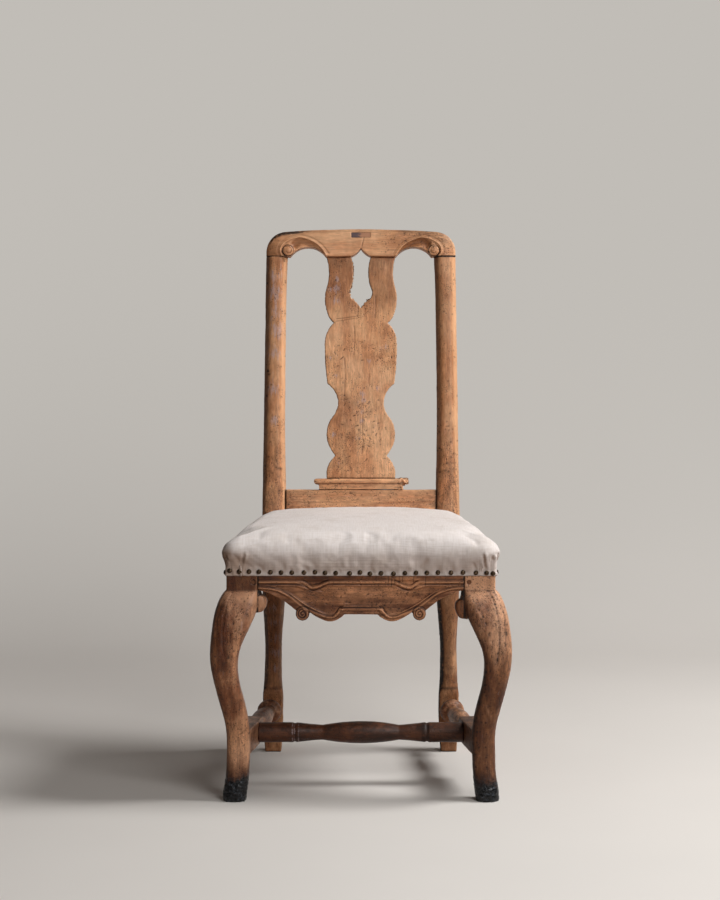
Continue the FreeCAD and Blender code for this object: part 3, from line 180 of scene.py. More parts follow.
def only(piece):
    """Selects one object alone and makes it the active one."""
    bpy.ops.object.select_all(action="DESELECT")
    piece.select_set(True)
    bpy.context.view_layer.objects.active = piece


def apply_modifier(piece, kind, **settings):
    only(piece)
    made = piece.modifiers.new(kind, kind)
    for name, value in settings.items():
        setattr(made, name, value)
    bpy.ops.object.modifier_apply(modifier=made.name)


def edit_all(piece):
    only(piece)
    bpy.ops.object.mode_set(mode="EDIT")
    bpy.ops.mesh.select_all(action="SELECT")


def edit_parts(piece, kind, test):
    """Enters edit mode with only those faces or edges selected that pass the test."""
    only(piece)
    bpy.ops.object.mode_set(mode="EDIT")
    bpy.ops.mesh.select_mode(type=kind)
    bpy.ops.mesh.select_all(action="DESELECT")
    leave_edit()
    for part in piece.data.polygons if kind == "FACE" else piece.data.edges:
        part.select = test(part)
    bpy.ops.object.mode_set(mode="EDIT")


def leave_edit():
    bpy.ops.object.mode_set(mode="OBJECT")


def name_piece(piece, name):
    piece.name = name
    piece.data.name = name
    return piece


def copy_node(node, name):
    """A free copy of a CAD node, with its loose triangles merged."""
    only(frame["nodes"][node])
    bpy.ops.object.duplicate()
    piece = name_piece(bpy.context.active_object, name)
    bpy.ops.object.parent_clear(type="CLEAR_KEEP_TRANSFORM")
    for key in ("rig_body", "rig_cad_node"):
        del piece[key]
    piece.data.materials.clear()
    edit_all(piece)
    bpy.ops.mesh.remove_doubles(threshold=MERGE)
    leave_edit()
    return piece


def points_of(piece, what="co"):
    """Places in metres of a piece's points, or which way they face."""
    spots = np.empty(len(piece.data.vertices) * 3)
    piece.data.vertices.foreach_get(what, spots)
    return spots.reshape(-1, 3)


def put_points(piece, spots):
    piece.data.vertices.foreach_set("co", np.ascontiguousarray(spots, float).ravel())
    piece.data.update()


def front_view(piece):
    """The x and z of a piece's points in millimetres."""
    return points_of(piece)[:, [0, 2]] / MM


def soft_step(share):
    share = np.clip(share, 0, 1)
    return share * share * (3 - 2 * share)


def band(values, low, high):
    """Nought at low and one at high, soft between."""
    return soft_step((values - low) / (high - low))


# Lines of the carving
def smooth_path(points, steps=6):
    """A rounded line through the points."""
    ends = [points[0], *points, points[-1]]
    path = []
    for a, b, c, d in zip(ends, ends[1:], ends[2:], ends[3:]):
        for step in range(steps):
            t = step / steps
            path.append(tuple(
                0.5 * (2 * q + (r - p) * t + (2 * p - 5 * q + 4 * r - s) * t * t + (3 * q - p - 3 * r + s) * t ** 3)
                for p, q, r, s in zip(a, b, c, d)))
    return path + [tuple(points[-1])]


def mirrored(path):
    return [(-x, z) for x, z in path]


def raised(path, up):
    return [(x, z + up) for x, z in path]


def spiral(middle, outer, inner, first, last, steps=48):
    """Points of a spiral that closes in from the outer radius, its angles in degrees."""
    path = []
    for step in range(steps + 1):
        share = step / steps
        turn = math.radians(first + (last - first) * share)
        radius = outer + (inner - outer) * share
        path.append((middle[0] + radius * math.cos(turn), middle[1] + radius * math.sin(turn)))
    return path


def ring(middle, radius):
    return spiral(middle, radius, radius, 0, 360, 24)


def nick_path(x, z, length, angle):
    """A short, slightly bent cut at an angle in degrees."""
    step = Vector((math.cos(math.radians(angle)), math.sin(math.radians(angle)))) * length / 2
    return [(x - step.x, z - step.y), (x + step.x * 0.2, z + step.y * 0.5), (x + step.x, z + step.y)]


def line_distance(flat, path):
    """Distance of each flat point to a line of segments."""
    near = np.full(len(flat), np.inf)
    for start, end in zip(path, path[1:]):
        start, along = np.array(start), np.array(end) - np.array(start)
        share = np.clip((flat - start) @ along / max(along @ along, 1e-12), 0, 1)
        near = np.minimum(near, np.linalg.norm(flat - start - share[:, None] * along, axis=1))
    return near


# Masks of wear
PIT_GRIME = 0.9


def mark(piece, name, weights):
    """Adds to a painted mask on the piece, which its material reads."""
    mask = piece.data.attributes.get(name) or piece.data.attributes.new(name, "FLOAT", "POINT")
    held = np.empty(len(piece.data.vertices), np.float32)
    mask.data.foreach_get("value", held)
    mask.data.foreach_set("value", np.clip(held + weights, 0, 1).astype(np.float32))


def mark_rows(piece, rows, **measures):
    """Adds to masks by rows of a mask, its amount and the ranges that limit it.

    A range is a measure, its value where the mask is nought and its value where the mask is full. A fourth
    item is a place, from which the measure then counts. Left, right and front are shares of facing there.
    """
    x, y, z = points_of(piece).T / MM
    right, behind, _ = points_of(piece, "normal").T
    known = {"x": x, "y": y, "z": z, "aside": np.abs(x), "right": right, "left": -right, "front": -behind, **measures}
    for name, amount, *ranges in rows:
        weights = np.full(len(x), amount)
        for measure, nought, full, *place in ranges:
            values = np.abs(known[measure] - place[0]) if place else known[measure]
            weights = weights * band(values, nought, full)
        mark(piece, name, weights)


def blot(piece, name, spots, amount):
    """Soft blots of a mask at flat spots, each an x, a z and a radius."""
    flat = front_view(piece)
    weights = np.zeros(len(flat))
    for x, z, radius in spots:
        weights = np.maximum(weights, np.exp(-((flat - (x, z)) ** 2).sum(1) / radius ** 2))
    mark(piece, name, weights * amount)


def scatter(piece, chance, count, across, up):
    """Small dark pits at chance places within a range of x and one of z."""
    pits = [(chance.uniform(*across), chance.uniform(*up), chance.uniform(0.5, 1.5)) for _ in range(count)]
    blot(piece, "grime", pits, PIT_GRIME)


# Wood carving and wear
SLICE = 0.012


def clouds(name, scale, contrast=1.0):
    texture = bpy.data.textures.get(name) or bpy.data.textures.new(name, "CLOUDS")
    texture.noise_scale = scale
    texture.noise_depth = 2
    texture.contrast = contrast
    return texture


def displace(piece, weights, least, **settings):
    """Moves points by their weights, where these are over the least one."""
    group = piece.vertex_groups.new(name="weights")
    for index in np.nonzero(weights > least)[0]:
        group.add([int(index)], float(weights[index]), "REPLACE")
    apply_modifier(piece, "DISPLACE", vertex_group=group.name, **settings)
    piece.vertex_groups.remove(piece.vertex_groups["weights"])


def make_uneven(piece, texture, depth):
    apply_modifier(piece, "DISPLACE", strength=depth, mid_level=0.5, texture=texture, texture_coords="LOCAL",
                   direction="NORMAL")


def chip(piece, weights, depth):
    """Breaks small chips out of the weighted places."""
    displace(piece, weights, 0.02, strength=depth * MM, mid_level=0.62, texture=clouds("chips", 0.005, 3.0),
             texture_coords="LOCAL", direction="NORMAL")


def carve(piece, path, width, height, direction="Y", **masks):
    """Raises a bead along a line seen from the front, or cuts a groove where height is below zero."""
    facing = np.clip((-points_of(piece, "normal")[:, 1] - 0.1) / 0.4, 0, 1)
    weights = soft_step(1 - line_distance(front_view(piece), path) / width) * facing
    displace(piece, weights, 0.01, strength=MM * (-height if direction == "Y" else height), mid_level=0,
             direction=direction)
    for name, amount in masks.items():
        mark(piece, name, weights * amount)


def round_front(piece, depth, foot, head):
    """Rounds the front of an upright piece across its width, between two heights, all in metres."""
    spots = points_of(piece)
    level = np.rint((spots[:, 2] - spots[:, 2].min()) / SLICE).astype(int)
    heights = np.arange(level.max() + 1) * SLICE + spots[:, 2].min()
    edges = []
    for axis in (0, 1):
        for pick, start in ((np.minimum, np.inf), (np.maximum, -np.inf)):
            found = np.full(len(heights), start)
            pick.at(found, level, spots[:, axis])
            edges.append(np.interp(spots[:, 2], heights, found))
    left, right, front, rear = edges
    aside = np.abs(2 * spots[:, 0] - left - right) / (right - left)
    ahead = 1 - (spots[:, 1] - front) / (0.7 * (rear - front))
    share = band(spots[:, 2], foot, foot + 0.02) * band(spots[:, 2], head, head - 0.03)
    spots[:, 1] += depth * np.clip(aside, 0, 1) ** 3.5 * np.clip(ahead, 0, 1) * share
    put_points(piece, spots)


def worn_copy(node, name, grid=1.0, soften=4, dent=1.0):
    """A CAD node with its edges worn round and its faces uneven, as old hand work is."""
    piece = copy_node(node, name)
    apply_modifier(piece, "REMESH", mode="VOXEL", voxel_size=wood().grid * grid)
    apply_modifier(piece, "SMOOTH", factor=0.5, iterations=soften)
    for texture, share in ((clouds("hand_work", 0.045), 1.0), (clouds("dents", 0.011), 0.42)):
        make_uneven(piece, texture, wood().dent * dent * share)
    return piece


def stand_for(piece, slot, material, *nodes):
    """Finishes a piece: smooth faces, its material, the nodes it replaces and the body it rides on."""
    only(piece)
    bpy.ops.object.shade_smooth()
    piece.data.materials.clear()
    piece.data.materials.append(material)
    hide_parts(*nodes)
    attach(piece, "root")


# Shader tools
class NodeNet:
    """Adds nodes to a shader tree. An input is a number, a colour or the output of another node."""

    def __init__(self, tree):
        self.tree = tree

    def feed(self, node, name, value):
        if isinstance(value, bpy.types.NodeSocket):
            self.tree.links.new(value, node.inputs[name])
        else:
            node.inputs[name].default_value = value

    def put(self, kind, inputs=None, **settings):
        node = self.tree.nodes.new("ShaderNode" + kind)
        for name, value in settings.items():
            setattr(node, name, value)
        for name, value in (inputs or {}).items():
            self.feed(node, name, value)
        return node.outputs

    def calc(self, operation, *values):
        return self.put("Math", dict(enumerate(values)), operation=operation)[0]

    def plus(self, first, second):
        return self.calc("ADD", first, second)

    def minus(self, first, second):
        return self.calc("SUBTRACT", first, second)

    def times(self, first, second):
        return self.calc("MULTIPLY", first, second)

    def most(self, first, second):
        return self.calc("MAXIMUM", first, second)

    def fade(self, value, low, high):
        """Nought below low, one above high, and soft between; the other way round where high is the lower."""
        return self.put("MapRange", {"Value": value, "From Min": low, "From Max": high},
                        interpolation_type="SMOOTHSTEP")[0]

    def ramp(self, value, low, high, bottom, top):
        return self.put("MapRange", {"Value": value, "From Min": low, "From Max": high,
                                     "To Min": bottom, "To Max": top})[0]

    def blend(self, share, first, second, kind="MIX"):
        return self.put("Mix", {0: share, 6: first, 7: second}, data_type="RGBA", blend_type=kind)[2]

    def mix(self, share, first, second):
        return self.put("Mix", {0: share, 2: first, 3: second})[0]

    def split(self, vector):
        return self.put("SeparateXYZ", {0: vector})

    def scaled(self, vector, scale, turn=(0, 0, 0)):
        return self.put("Mapping", {"Vector": vector, "Scale": scale, "Rotation": turn})[0]

    def noise(self, vector, scale, detail=4, roughness=0.55):
        return self.put("TexNoise", {"Vector": vector, "Scale": scale, "Detail": detail, "Roughness": roughness})[0]

    def cells(self, vector, scale):
        return self.put("TexVoronoi", {"Vector": vector, "Scale": scale})["Distance"]

    def here(self):
        return self.put("TexCoord")["Object"]

    def geometry(self, what):
        return self.put("NewGeometry")[what]

    def mask(self, name):
        return self.put("Attribute", attribute_name=name)["Fac"]


def new_group(name, inputs, outputs):
    tree = bpy.data.node_groups.new(name, "ShaderNodeTree")
    for direction, sockets in (("INPUT", inputs), ("OUTPUT", outputs)):
        for label, kind in sockets.items():
            tree.interface.new_socket(label, in_out=direction, socket_type="NodeSocket" + kind)
    return NodeNet(tree), tree.nodes.new("NodeGroupInput").outputs


def close_group(net, values):
    out = net.tree.nodes.new("NodeGroupOutput")
    for name, value in values.items():
        net.tree.links.new(value, out.inputs[name])
    return net.tree


def new_material(name):
    material = bpy.data.materials.new(name)
    material.use_nodes = True
    return material, NodeNet(material.node_tree), material.node_tree.nodes["Principled BSDF"]


def dress(net, shader, relief, distance, strength, **inputs):
    """Feeds the shader its inputs and a bump. An underscore stands for a space in an input's name."""
    for name, value in inputs.items():
        net.feed(shader, name.replace("_", " "), value)
    net.feed(shader, "Normal", net.put("Bump", {"Height": relief, "Distance": distance, "Strength": strength})[0])


# Wood
GRAIN_UPRIGHT, GRAIN_ACROSS, GRAIN_ALONG = (0, 0, 0), (0, math.pi / 2, 0), (math.pi / 2, 0, 0)
WOOD_MASKS = ("paint", "polish", "grime", "wear", "rub")
WOOD_INPUTS = {"Vector": "Vector", "Light": "Color", "Middle": "Color", "Dark": "Color", "Grime Colour": "Color",
               "Paint Colour": "Color", "Specks": "Float", "Paint": "Float", "Polish": "Float", "Edge": "Float",
               "Recess": "Float", "Grime": "Float"}
WARM, OLD_POLISH_AND_SHADE, SMOKE, SOIL_AND_SHADE = (1, 0.90, 0.76, 1), (0.46, 0.36, 0.28, 1), (0.26, 0.19, 0.15, 1), (0.66, 0.54, 0.46, 1)
SCUFF, GREYED, WARM_FLOOR = linear(98, 106, 116), linear(96, 78, 80), linear(120, 96, 78)

# Noises of the wood: size along the grain, scale, detail and roughness
WOOD_NOISES = {
    "fibre": (0.04, 600, 4, 0.60), "streak": (0.07, 62, 6, 0.62), "blotch": (1, 15, 6, 0.60), "warmth": (1, 6, 3, 0.55),
    "fine": (0.14, 290, 4, 0.65), "mottle": (0.45, 130, 6, 0.72), "rubbing": (0.35, 48, 6, 0.65),
    "crowd": (1, 12, 3, 0.55), "cluster": (1, 52, 2, 0.55), "fleck": (0.4, 360, 3, 0.60), "flake": (0.12, 230, 8, 0.75),
    "dirt_and_shade": (1, 170, 5, 0.65)}


def old_wood_group():
    """Grain along Z, warm and dark places, specks, paint traces, soiling and painted shade where marked, dark patina
    and painted shade in recesses, and rubbed edges with painted highlights.
    """
    if "old_wood" in bpy.data.node_groups:
        return bpy.data.node_groups["old_wood"]
    net, given = new_group("old_wood", WOOD_INPUTS, {"Color": "Color", "Roughness": "Float", "Height": "Float"})
    plus, times, fade, blend = net.plus, net.times, net.fade, net.blend
    spot = given["Vector"]
    noises = {name: net.noise(net.scaled(spot, (1, 1, length)), *sizes)
              for name, (length, *sizes) in WOOD_NOISES.items()}
    fibre, streak, blotch = noises["fibre"], noises["streak"], noises["blotch"]
    tone = plus(times(streak, 0.5), times(blotch, 0.5))
    colour = blend(fade(tone, 0.40, 0.61), given["Middle"], given["Light"])
    colour = blend(times(fade(noises["warmth"], 0.42, 0.64), 0.55), colour, WARM, "MULTIPLY")
    colour = blend(1.0, colour, net.ramp(noises["fine"], 0.30, 0.70, 0.72, 1.14), "MULTIPLY")
    mottle = net.ramp(noises["mottle"], 0.36, 0.64, 0.52, 1.22)
    worn = net.calc("MINIMUM", given["Specks"], 1.0)
    colour = blend(times(times(worn, worn), 0.9), colour, mottle, "MULTIPLY")
    colour = blend(times(fade(fibre, 0.46, 0.30), 0.35), colour, given["Dark"])
    # Old finish darkens the wood in patches; where marked it is painted shade as well
    polish = plus(given["Polish"], times(fade(blotch, 0.43, 0.30), 0.35))
    colour = blend(times(polish, fade(noises["rubbing"], 0.22, 0.52)), colour, OLD_POLISH_AND_SHADE, "MULTIPLY")
    place = plus(times(noises["crowd"], 0.6), times(noises["cluster"], 0.4))
    crowd = fade(plus(place, times(given["Specks"], 0.15)), 0.545, 0.66)
    speck = times(fade(net.cells(spot, 240), 0.27, 0.14), crowd)
    pit = times(times(fade(net.cells(spot, 430), 0.32, 0.16), crowd), 0.7)
    fleck = times(times(fade(noises["fleck"], 0.60, 0.68), crowd), 0.8)
    marks = net.most(net.most(speck, pit), fleck)
    trace = fade(plus(noises["flake"], times(given["Paint"], 0.22)), 0.61, 0.75)
    colour = blend(times(trace, 0.58), colour, given["Paint Colour"])
    # Lightens rubbed edges, and paints highlights where marked
    colour = blend(times(given["Edge"], 0.8), colour, given["Light"])
    # Darkens hollows: their dark patina, and painted shade from the occlusion
    colour = blend(times(given["Recess"], 0.85), colour, given["Dark"], "MULTIPLY")
    # Soiling, and painted shade where marked, broken into patches
    dirt_and_shade = times(given["Grime"], fade(noises["dirt_and_shade"], 0.24, 0.50))
    colour = blend(net.most(times(marks, 0.88), dirt_and_shade), colour, given["Grime Colour"])
    rough = plus(0.36, times(plus(fibre, plus(dirt_and_shade, trace)), 0.18))
    relief = plus(times(fibre, 0.3), times(streak, 0.4))
    height = net.minus(relief, net.minus(marks, times(trace, 0.2)))
    return close_group(net, {"Color": colour, "Roughness": rough, "Height": height})


def wood_material(name, colours, grain, specks=0.0, paint=0.0, polish=0.0, finish=None):
    """Old worn wood. The finish, where given, adds to the colour and roughness before they reach the shader."""
    if name in bpy.data.materials:
        return bpy.data.materials[name]
    material, net, shader = new_material(name)
    spot, point = net.here(), net.geometry("Pointiness")
    shadow = net.put("AmbientOcclusion", {"Distance": 0.009}, samples=6)["AO"]
    masks = {mask: net.mask(mask) for mask in WOOD_MASKS}
    held = net.put("Group", {
        "Vector": net.scaled(spot, (1, 1, 1), grain), "Light": opaque(colours[0]), "Middle": opaque(colours[1]),
        "Dark": opaque(wood().dark), "Grime Colour": opaque(wood().grime), "Paint Colour": opaque(wood().paint),
        "Specks": net.plus(masks["wear"], specks), "Paint": net.plus(masks["paint"], paint),
        # Rubbed convex edges, and painted highlights where marked
        "Polish": net.plus(masks["polish"], polish), "Edge": net.most(net.fade(point, 0.515, 0.565), masks["rub"]),
        # Dark patina in concave places, and painted shade from the occlusion
        "Recess": net.most(net.fade(point, 0.49, 0.44), net.fade(shadow, 0.70, 0.25)), "Grime": masks["grime"],
    }, node_tree=old_wood_group())
    colour, rough = held["Color"], held["Roughness"]
    if finish:
        colour, rough = finish(net, spot, colour, rough)
    dress(net, shader, held["Height"], 0.0007, 0.65, Base_Color=colour, Roughness=rough, Specular_IOR_Level=0.34)
    return material


def black_hoof(net, spot, colour, rough):
    """Chipped black paint up to an uneven line, higher on the left foot."""
    x, _, z = net.split(spot)
    edge = net.minus(0.043, net.times(x, 0.02))
    ragged = net.times(net.minus(net.noise(net.scaled(spot, (1, 1, 0.7)), 55, 6, 0.7), 0.5), 0.06)
    above = net.minus(net.plus(z, ragged), edge)
    colour = net.blend(net.times(net.fade(above, 0.036, 0.0), 0.9), colour, SMOKE, "MULTIPLY")
    cover = net.times(net.fade(above, 0.010, -0.010), net.fade(net.noise(spot, 120, 6, 0.7), 0.30, 0.40))
    scuffs = net.times(net.fade(net.noise(spot, 170, 6, 0.72), 0.52, 0.66), 0.5)
    paint = net.blend(scuffs, opaque(wood().hoof), opaque(SCUFF))
    return net.blend(cover, colour, paint), net.mix(cover, rough, 0.25)


def foot_worn(net, spot, colour, rough):
    """Upper side rubbed dark by feet, in patches."""
    facing = net.split(net.geometry("Normal"))[2]
    patchy = net.fade(net.noise(spot, 58, 8, 0.7), 0.38, 0.62)
    share = net.times(net.times(net.fade(facing, -0.2, 0.7), patchy), 0.72)
    return net.blend(share, colour, opaque(wood().grime)), rough


def two_tone_patch(net, spot, colour, rough):
    """The left part of the patch has gone grey."""
    across = net.plus(net.split(spot)[0], net.times(net.noise(spot, 160, 3), 0.02))
    return net.blend(net.fade(across, 0.012, 0.004), colour, opaque(GREYED)), rough


# Cloth and metal
def weave_group():
    """Over and under threads on the side of the cloth that each face shows, with thick and thin places."""
    if "plain_weave" in bpy.data.node_groups:
        return bpy.data.node_groups["plain_weave"]
    net, given = new_group("plain_weave", {"Vector": "Vector", "Facing": "Vector", "Pitch": "Float"},
                           {"Height": "Float", "Tone": "Float"})
    x, y, z = net.split(given["Vector"])
    facing = [net.calc("ABSOLUTE", share) for share in net.split(given["Facing"])]
    across = net.mix(net.calc("GREATER_THAN", facing[0], 0.72), x, y)
    along = net.mix(net.calc("LESS_THAN", facing[2], 0.62), y, z)
    waves = [net.calc("SINE", net.calc("DIVIDE", net.times(value, math.pi), given["Pitch"]))
             for value in (across, along)]
    flat = net.put("CombineXYZ", {0: across, 1: along})[0]
    slub = net.plus(*[net.noise(net.scaled(flat, scale), 1) for scale in ((30, 480, 1), (480, 30, 1))])
    height = net.plus(net.times(net.calc("ABSOLUTE", net.times(*waves)), 0.5), net.times(slub, 0.45))
    return close_group(net, {"Height": height, "Tone": slub})


def cloth_material(name, colour, marks, pitch, height, roughness, contrast):
    """Woven cloth; the contrast is that of its threads and gaps."""
    material, net, shader = new_material(name)
    spot = net.here()
    weave = net.put("Group", {"Vector": spot, "Facing": net.geometry("Normal"), "Pitch": pitch},
                    node_tree=weave_group())
    cloud = net.fade(net.noise(spot, 22, 5, 0.6), 0.48, 0.72)
    shade = net.blend(net.times(cloud, 0.45), opaque(colour), opaque(marks))
    shade = net.blend(net.times(net.fade(weave["Tone"], 1.25, 0.75), contrast), shade, opaque(marks))
    shade = net.blend(net.times(net.fade(weave["Height"], 0.42, 0.22), contrast), shade, opaque(darker(marks, 0.45)))
    # Darker where marked: the lower front as a stain with painted shade, the left side as painted shade
    shade = net.blend(net.mask("soil"), shade, SOIL_AND_SHADE, "MULTIPLY")
    dress(net, shader, weave["Height"], height, 0.6, Base_Color=shade, Roughness=roughness, Specular_IOR_Level=0.2,
          Sheen_Weight=0.12, Sheen_Roughness=0.5)
    return material


def nail_material():
    """Dark bronze, rubbed brighter on the domes."""
    material, net, shader = new_material("dark_bronze")
    spot = net.here()
    worn = net.fade(net.noise(spot, 260, 4, 0.6), 0.42, 0.66)
    dress(net, shader, net.noise(spot, 900, 3), 0.0003, 0.5, Metallic=1.0, Roughness=net.ramp(worn, 0, 1, 0.50, 0.30),
          Base_Color=net.blend(worn, opaque(darker(seat().nail, 0.42)), opaque(seat().nail)))
    return material


# Back: posts, crest, splat, shoe and lower rail
CREST_JOINT = 950.4
CREST_COVE = [(126, 22), (116, 27.5), (102, 24.5), (88, 16.5), (78, 7)]
CREST_BEAD = [(141, -2), (151, 3), (153.5, 13), (148.5, 23), (136, 31.5), (118, 36), (102, 32.5), (86, 25), (75, 15),
              (66, 3)]
CREST_LINE = [(146, -3), (156, 3), (158.5, 14), (153, 25.5), (138.5, 35.5), (119, 40.5), (100, 37), (83, 29),
              (71, 18.5), (61, 5)]
VOLUTE = (138.8, 10.6)
CREST_CRACK = [(6, 986), (3.2, 976), (1.6, 969)]
CREST_TOP = (0, 110, 150, 165, 181), (1000.5, 997, 992.5, 986, 965)
BACK_FOOT, BACK_FACE, BACK_LEAN = 455, 148.75, 72 / 547
CREST_ROUND, CREST_ROUND_START, CREST_ROUND_WIDTH, CREST_ROUND_DEPTH = 11, 150, 31, 20
SPLAT_CUTS = [([(-47, 831), (-30, 833), (-2, 837)], 0.45), ([(-47, 826.5), (-28, 829.5), (-2, 833.5)], 0.3)]
SPLAT_CRACKS = [[(3.4, 648), (2.6, 622), (3.6, 600), (2, 576)], [(-31, 757), (-30.4, 722), (-31.4, 686)],
                [(15.4, 727), (15, 714), (16, 704)], [(27.6, 874), (28.2, 852), (27, 833)],
                [(-5, 857), (-5.6, 846), (-7, 836)], [(-13, 818), (-12, 790), (-13.4, 764)]]
OPENING_EDGE = [(-18, 934), (-17, 913), (-23, 883), (-25, 873), (-15, 860), (-6, 851), (0, 849), (8, 859), (14, 870)]
SHOE_LIP = 521.0
SHOE_HEIGHTS, SHOE_THINNED = (508, 517.6, 530.5), (508, SHOE_LIP, 530.5)
SHOE_BROKEN = 60, 86
LOWER_BEAD = [(-141, 484.6), (0, 484), (141, 484.6)]

# Roundings of the posts in metres: depth, low end and high end
POST_ROUNDINGS = [(0.0120, 0.43, 2.0), (0.0105, 0.118, 0.365)]

# Chance pits of the posts: count, and low end and high end
POST_PITS = [(45, (455, 640)), (30, (640, 945))]

# Nicks: x, z, length and angle
SPLAT_NICKS = [(-13, 648, 9, 20), (-36, 632, 8, -8), (-8, 629, 10, 12), (18, 605, 9, -38), (15, 591, 8, -30),
               (29, 613, 8, 62), (24, 637, 7, 30), (-50, 769, 6, 80), (-32, 773, 9, 55), (-36, 757, 13, 40),
               (24, 775, 6, -15), (-32, 679, 7, 70), (-31, 669, 9, 60), (2, 753, 6, 10), (13, 671, 5, 20),
               (-20, 640, 6, -40), (33, 634, 6, 10), (10, 620, 5, 50), (-44, 742, 7, 5), (6, 700, 5, 80),
               (-3, 668, 7, 50), (36, 600, 5, 70), (-22, 571, 5, 20), (11, 566, 5, 60)]

# Blots: x, z and radius
SPLAT_WEAR = [(14, 640, 34), (-10, 610, 40), (-30, 690, 20)]
SPLAT_PAINT = [(-46, 889, 9), (-46, 865, 8), (-57, 887, 6), (-44, 905, 6), (2, 690, 7), (4, 676, 8), (3, 655, 7),
               (1, 639, 6), (-4, 606, 6), (46, 777, 9), (15, 752, 5), (-47, 724, 5), (34, 700, 6), (-58, 757, 5),
               (-52, 612, 6)]
POST_PAINT = [(-166, 915, 20), (-163, 880, 22), (-168, 845, 20), (-160, 810, 22), (-166, 770, 18), (-166, 700, 14),
              (-164, 640, 12), (-166, 285, 11), (-165, 255, 13), (-163, 225, 13), (-162, 195, 12), (-163, 165, 10)]
POST_SPECKS = {
    "left": [(-176, 733, 2.6), (-174, 727, 2.2), (-172, 600, 1.6), (-160, 566, 2), (-152, 549, 2.2), (-168, 541, 1.8)],
    "right": [(163, 560, 2.4), (159, 546, 3.4), (166, 544, 2.6), (171, 571, 2.2), (153, 585, 2), (176, 578, 2)]}

# Marks: mask, amount and ranges
POST_MARKS = [
    # Painted highlight on the right-facing sides above the seat, painted shade on the left-facing sides, more of it
    # below the seat, and darker wood below the seat
    ("polish", 0.56), ("polish", 0.2, ("z", 440, 400)), ("rub", 0.6, ("right", 0.62, 0.82), ("z", 430, 460)),
    ("wear", 0.5, ("z", 400, 360)), ("wear", 0.8, ("z", 680, 500), ("z", 400, 440)),
    ("grime", 0.45, ("left", 0.50, 0.85)), ("grime", 0.3, ("left", 0.50, 0.85), ("z", 420, 380)),
    ("grime", 0.45, ("z", 4.0, 1.0, 126.0))]
SIDE_POST_MARKS = {
    "left": [("grime", 0.5, ("z", 3.0, 1.2, CREST_JOINT))],
    # Below the seat the right rear leg is darker
    "right": [("grime", 1.0, ("z", 3.0, 1.2, CREST_JOINT)), ("grime", 0.25, ("z", 400, 360))]}
CREST_EDGE = ("below_top", -4.5, -1.0), ("behind_face", 9, 4)
CREST_SEAM = ("z", CREST_JOINT + 2.6, CREST_JOINT + 1.0), ("aside", 138, 142)
CREST_MARKS = [
    ("grime", 0.35, *CREST_EDGE), ("grime", 0.6, *CREST_EDGE, ("x", -85, -120)),
    ("grime", 0.5, *CREST_SEAM), ("grime", 0.5, *CREST_SEAM, ("x", -100, 100)),
    ("polish", 0.08), ("polish", 0.40, ("x", 20, 80)), ("polish", 0.25, ("x", -100, -140)),
    # Painted shade along the coves
    ("polish", 0.55, ("from_cove", 11, 5)), ("wear", 0.9, ("x", 40, 100), ("below_top", -18, -6)),
    # Painted highlight on the right-facing faces at the ends
    ("rub", 0.8, ("right", 0.55, 0.8), ("aside", 155, 165))]
SPLAT_MARKS = [
    ("grime", 0.9, ("z", 948.5, 950)), ("grime", 0.8, ("z", 532.5, 530.5)), ("polish", 0.75, ("z", 830, 875)),
    ("polish", 0.35, ("x", 4, -20), ("z", 720, 660)), ("wear", 0.1), ("wear", 0.2, ("z", 720, 660))]
# Painted shade on the left-facing edges
SPLAT_SHADE = [("grime", 0.5, ("left", 0.2, 0.6))]
LOWER_RAIL_MARKS = [("grime", 0.9, ("aside", 139.5, 141.8)), ("wear", 0.3), ("wear", 0.3, ("aside", 70, 130)),
                    ("polish", 0.34)]
SHOE_MARKS = [("grime", 0.9, ("z", 526.5, 528.5), ("behind_face", 4, 8)), ("grime", 0.5, ("z", 509.5, 507.5)),
              ("grime", 0.6, ("z", 1.8, 0.6, SHOE_LIP)), ("wear", 0.4)]


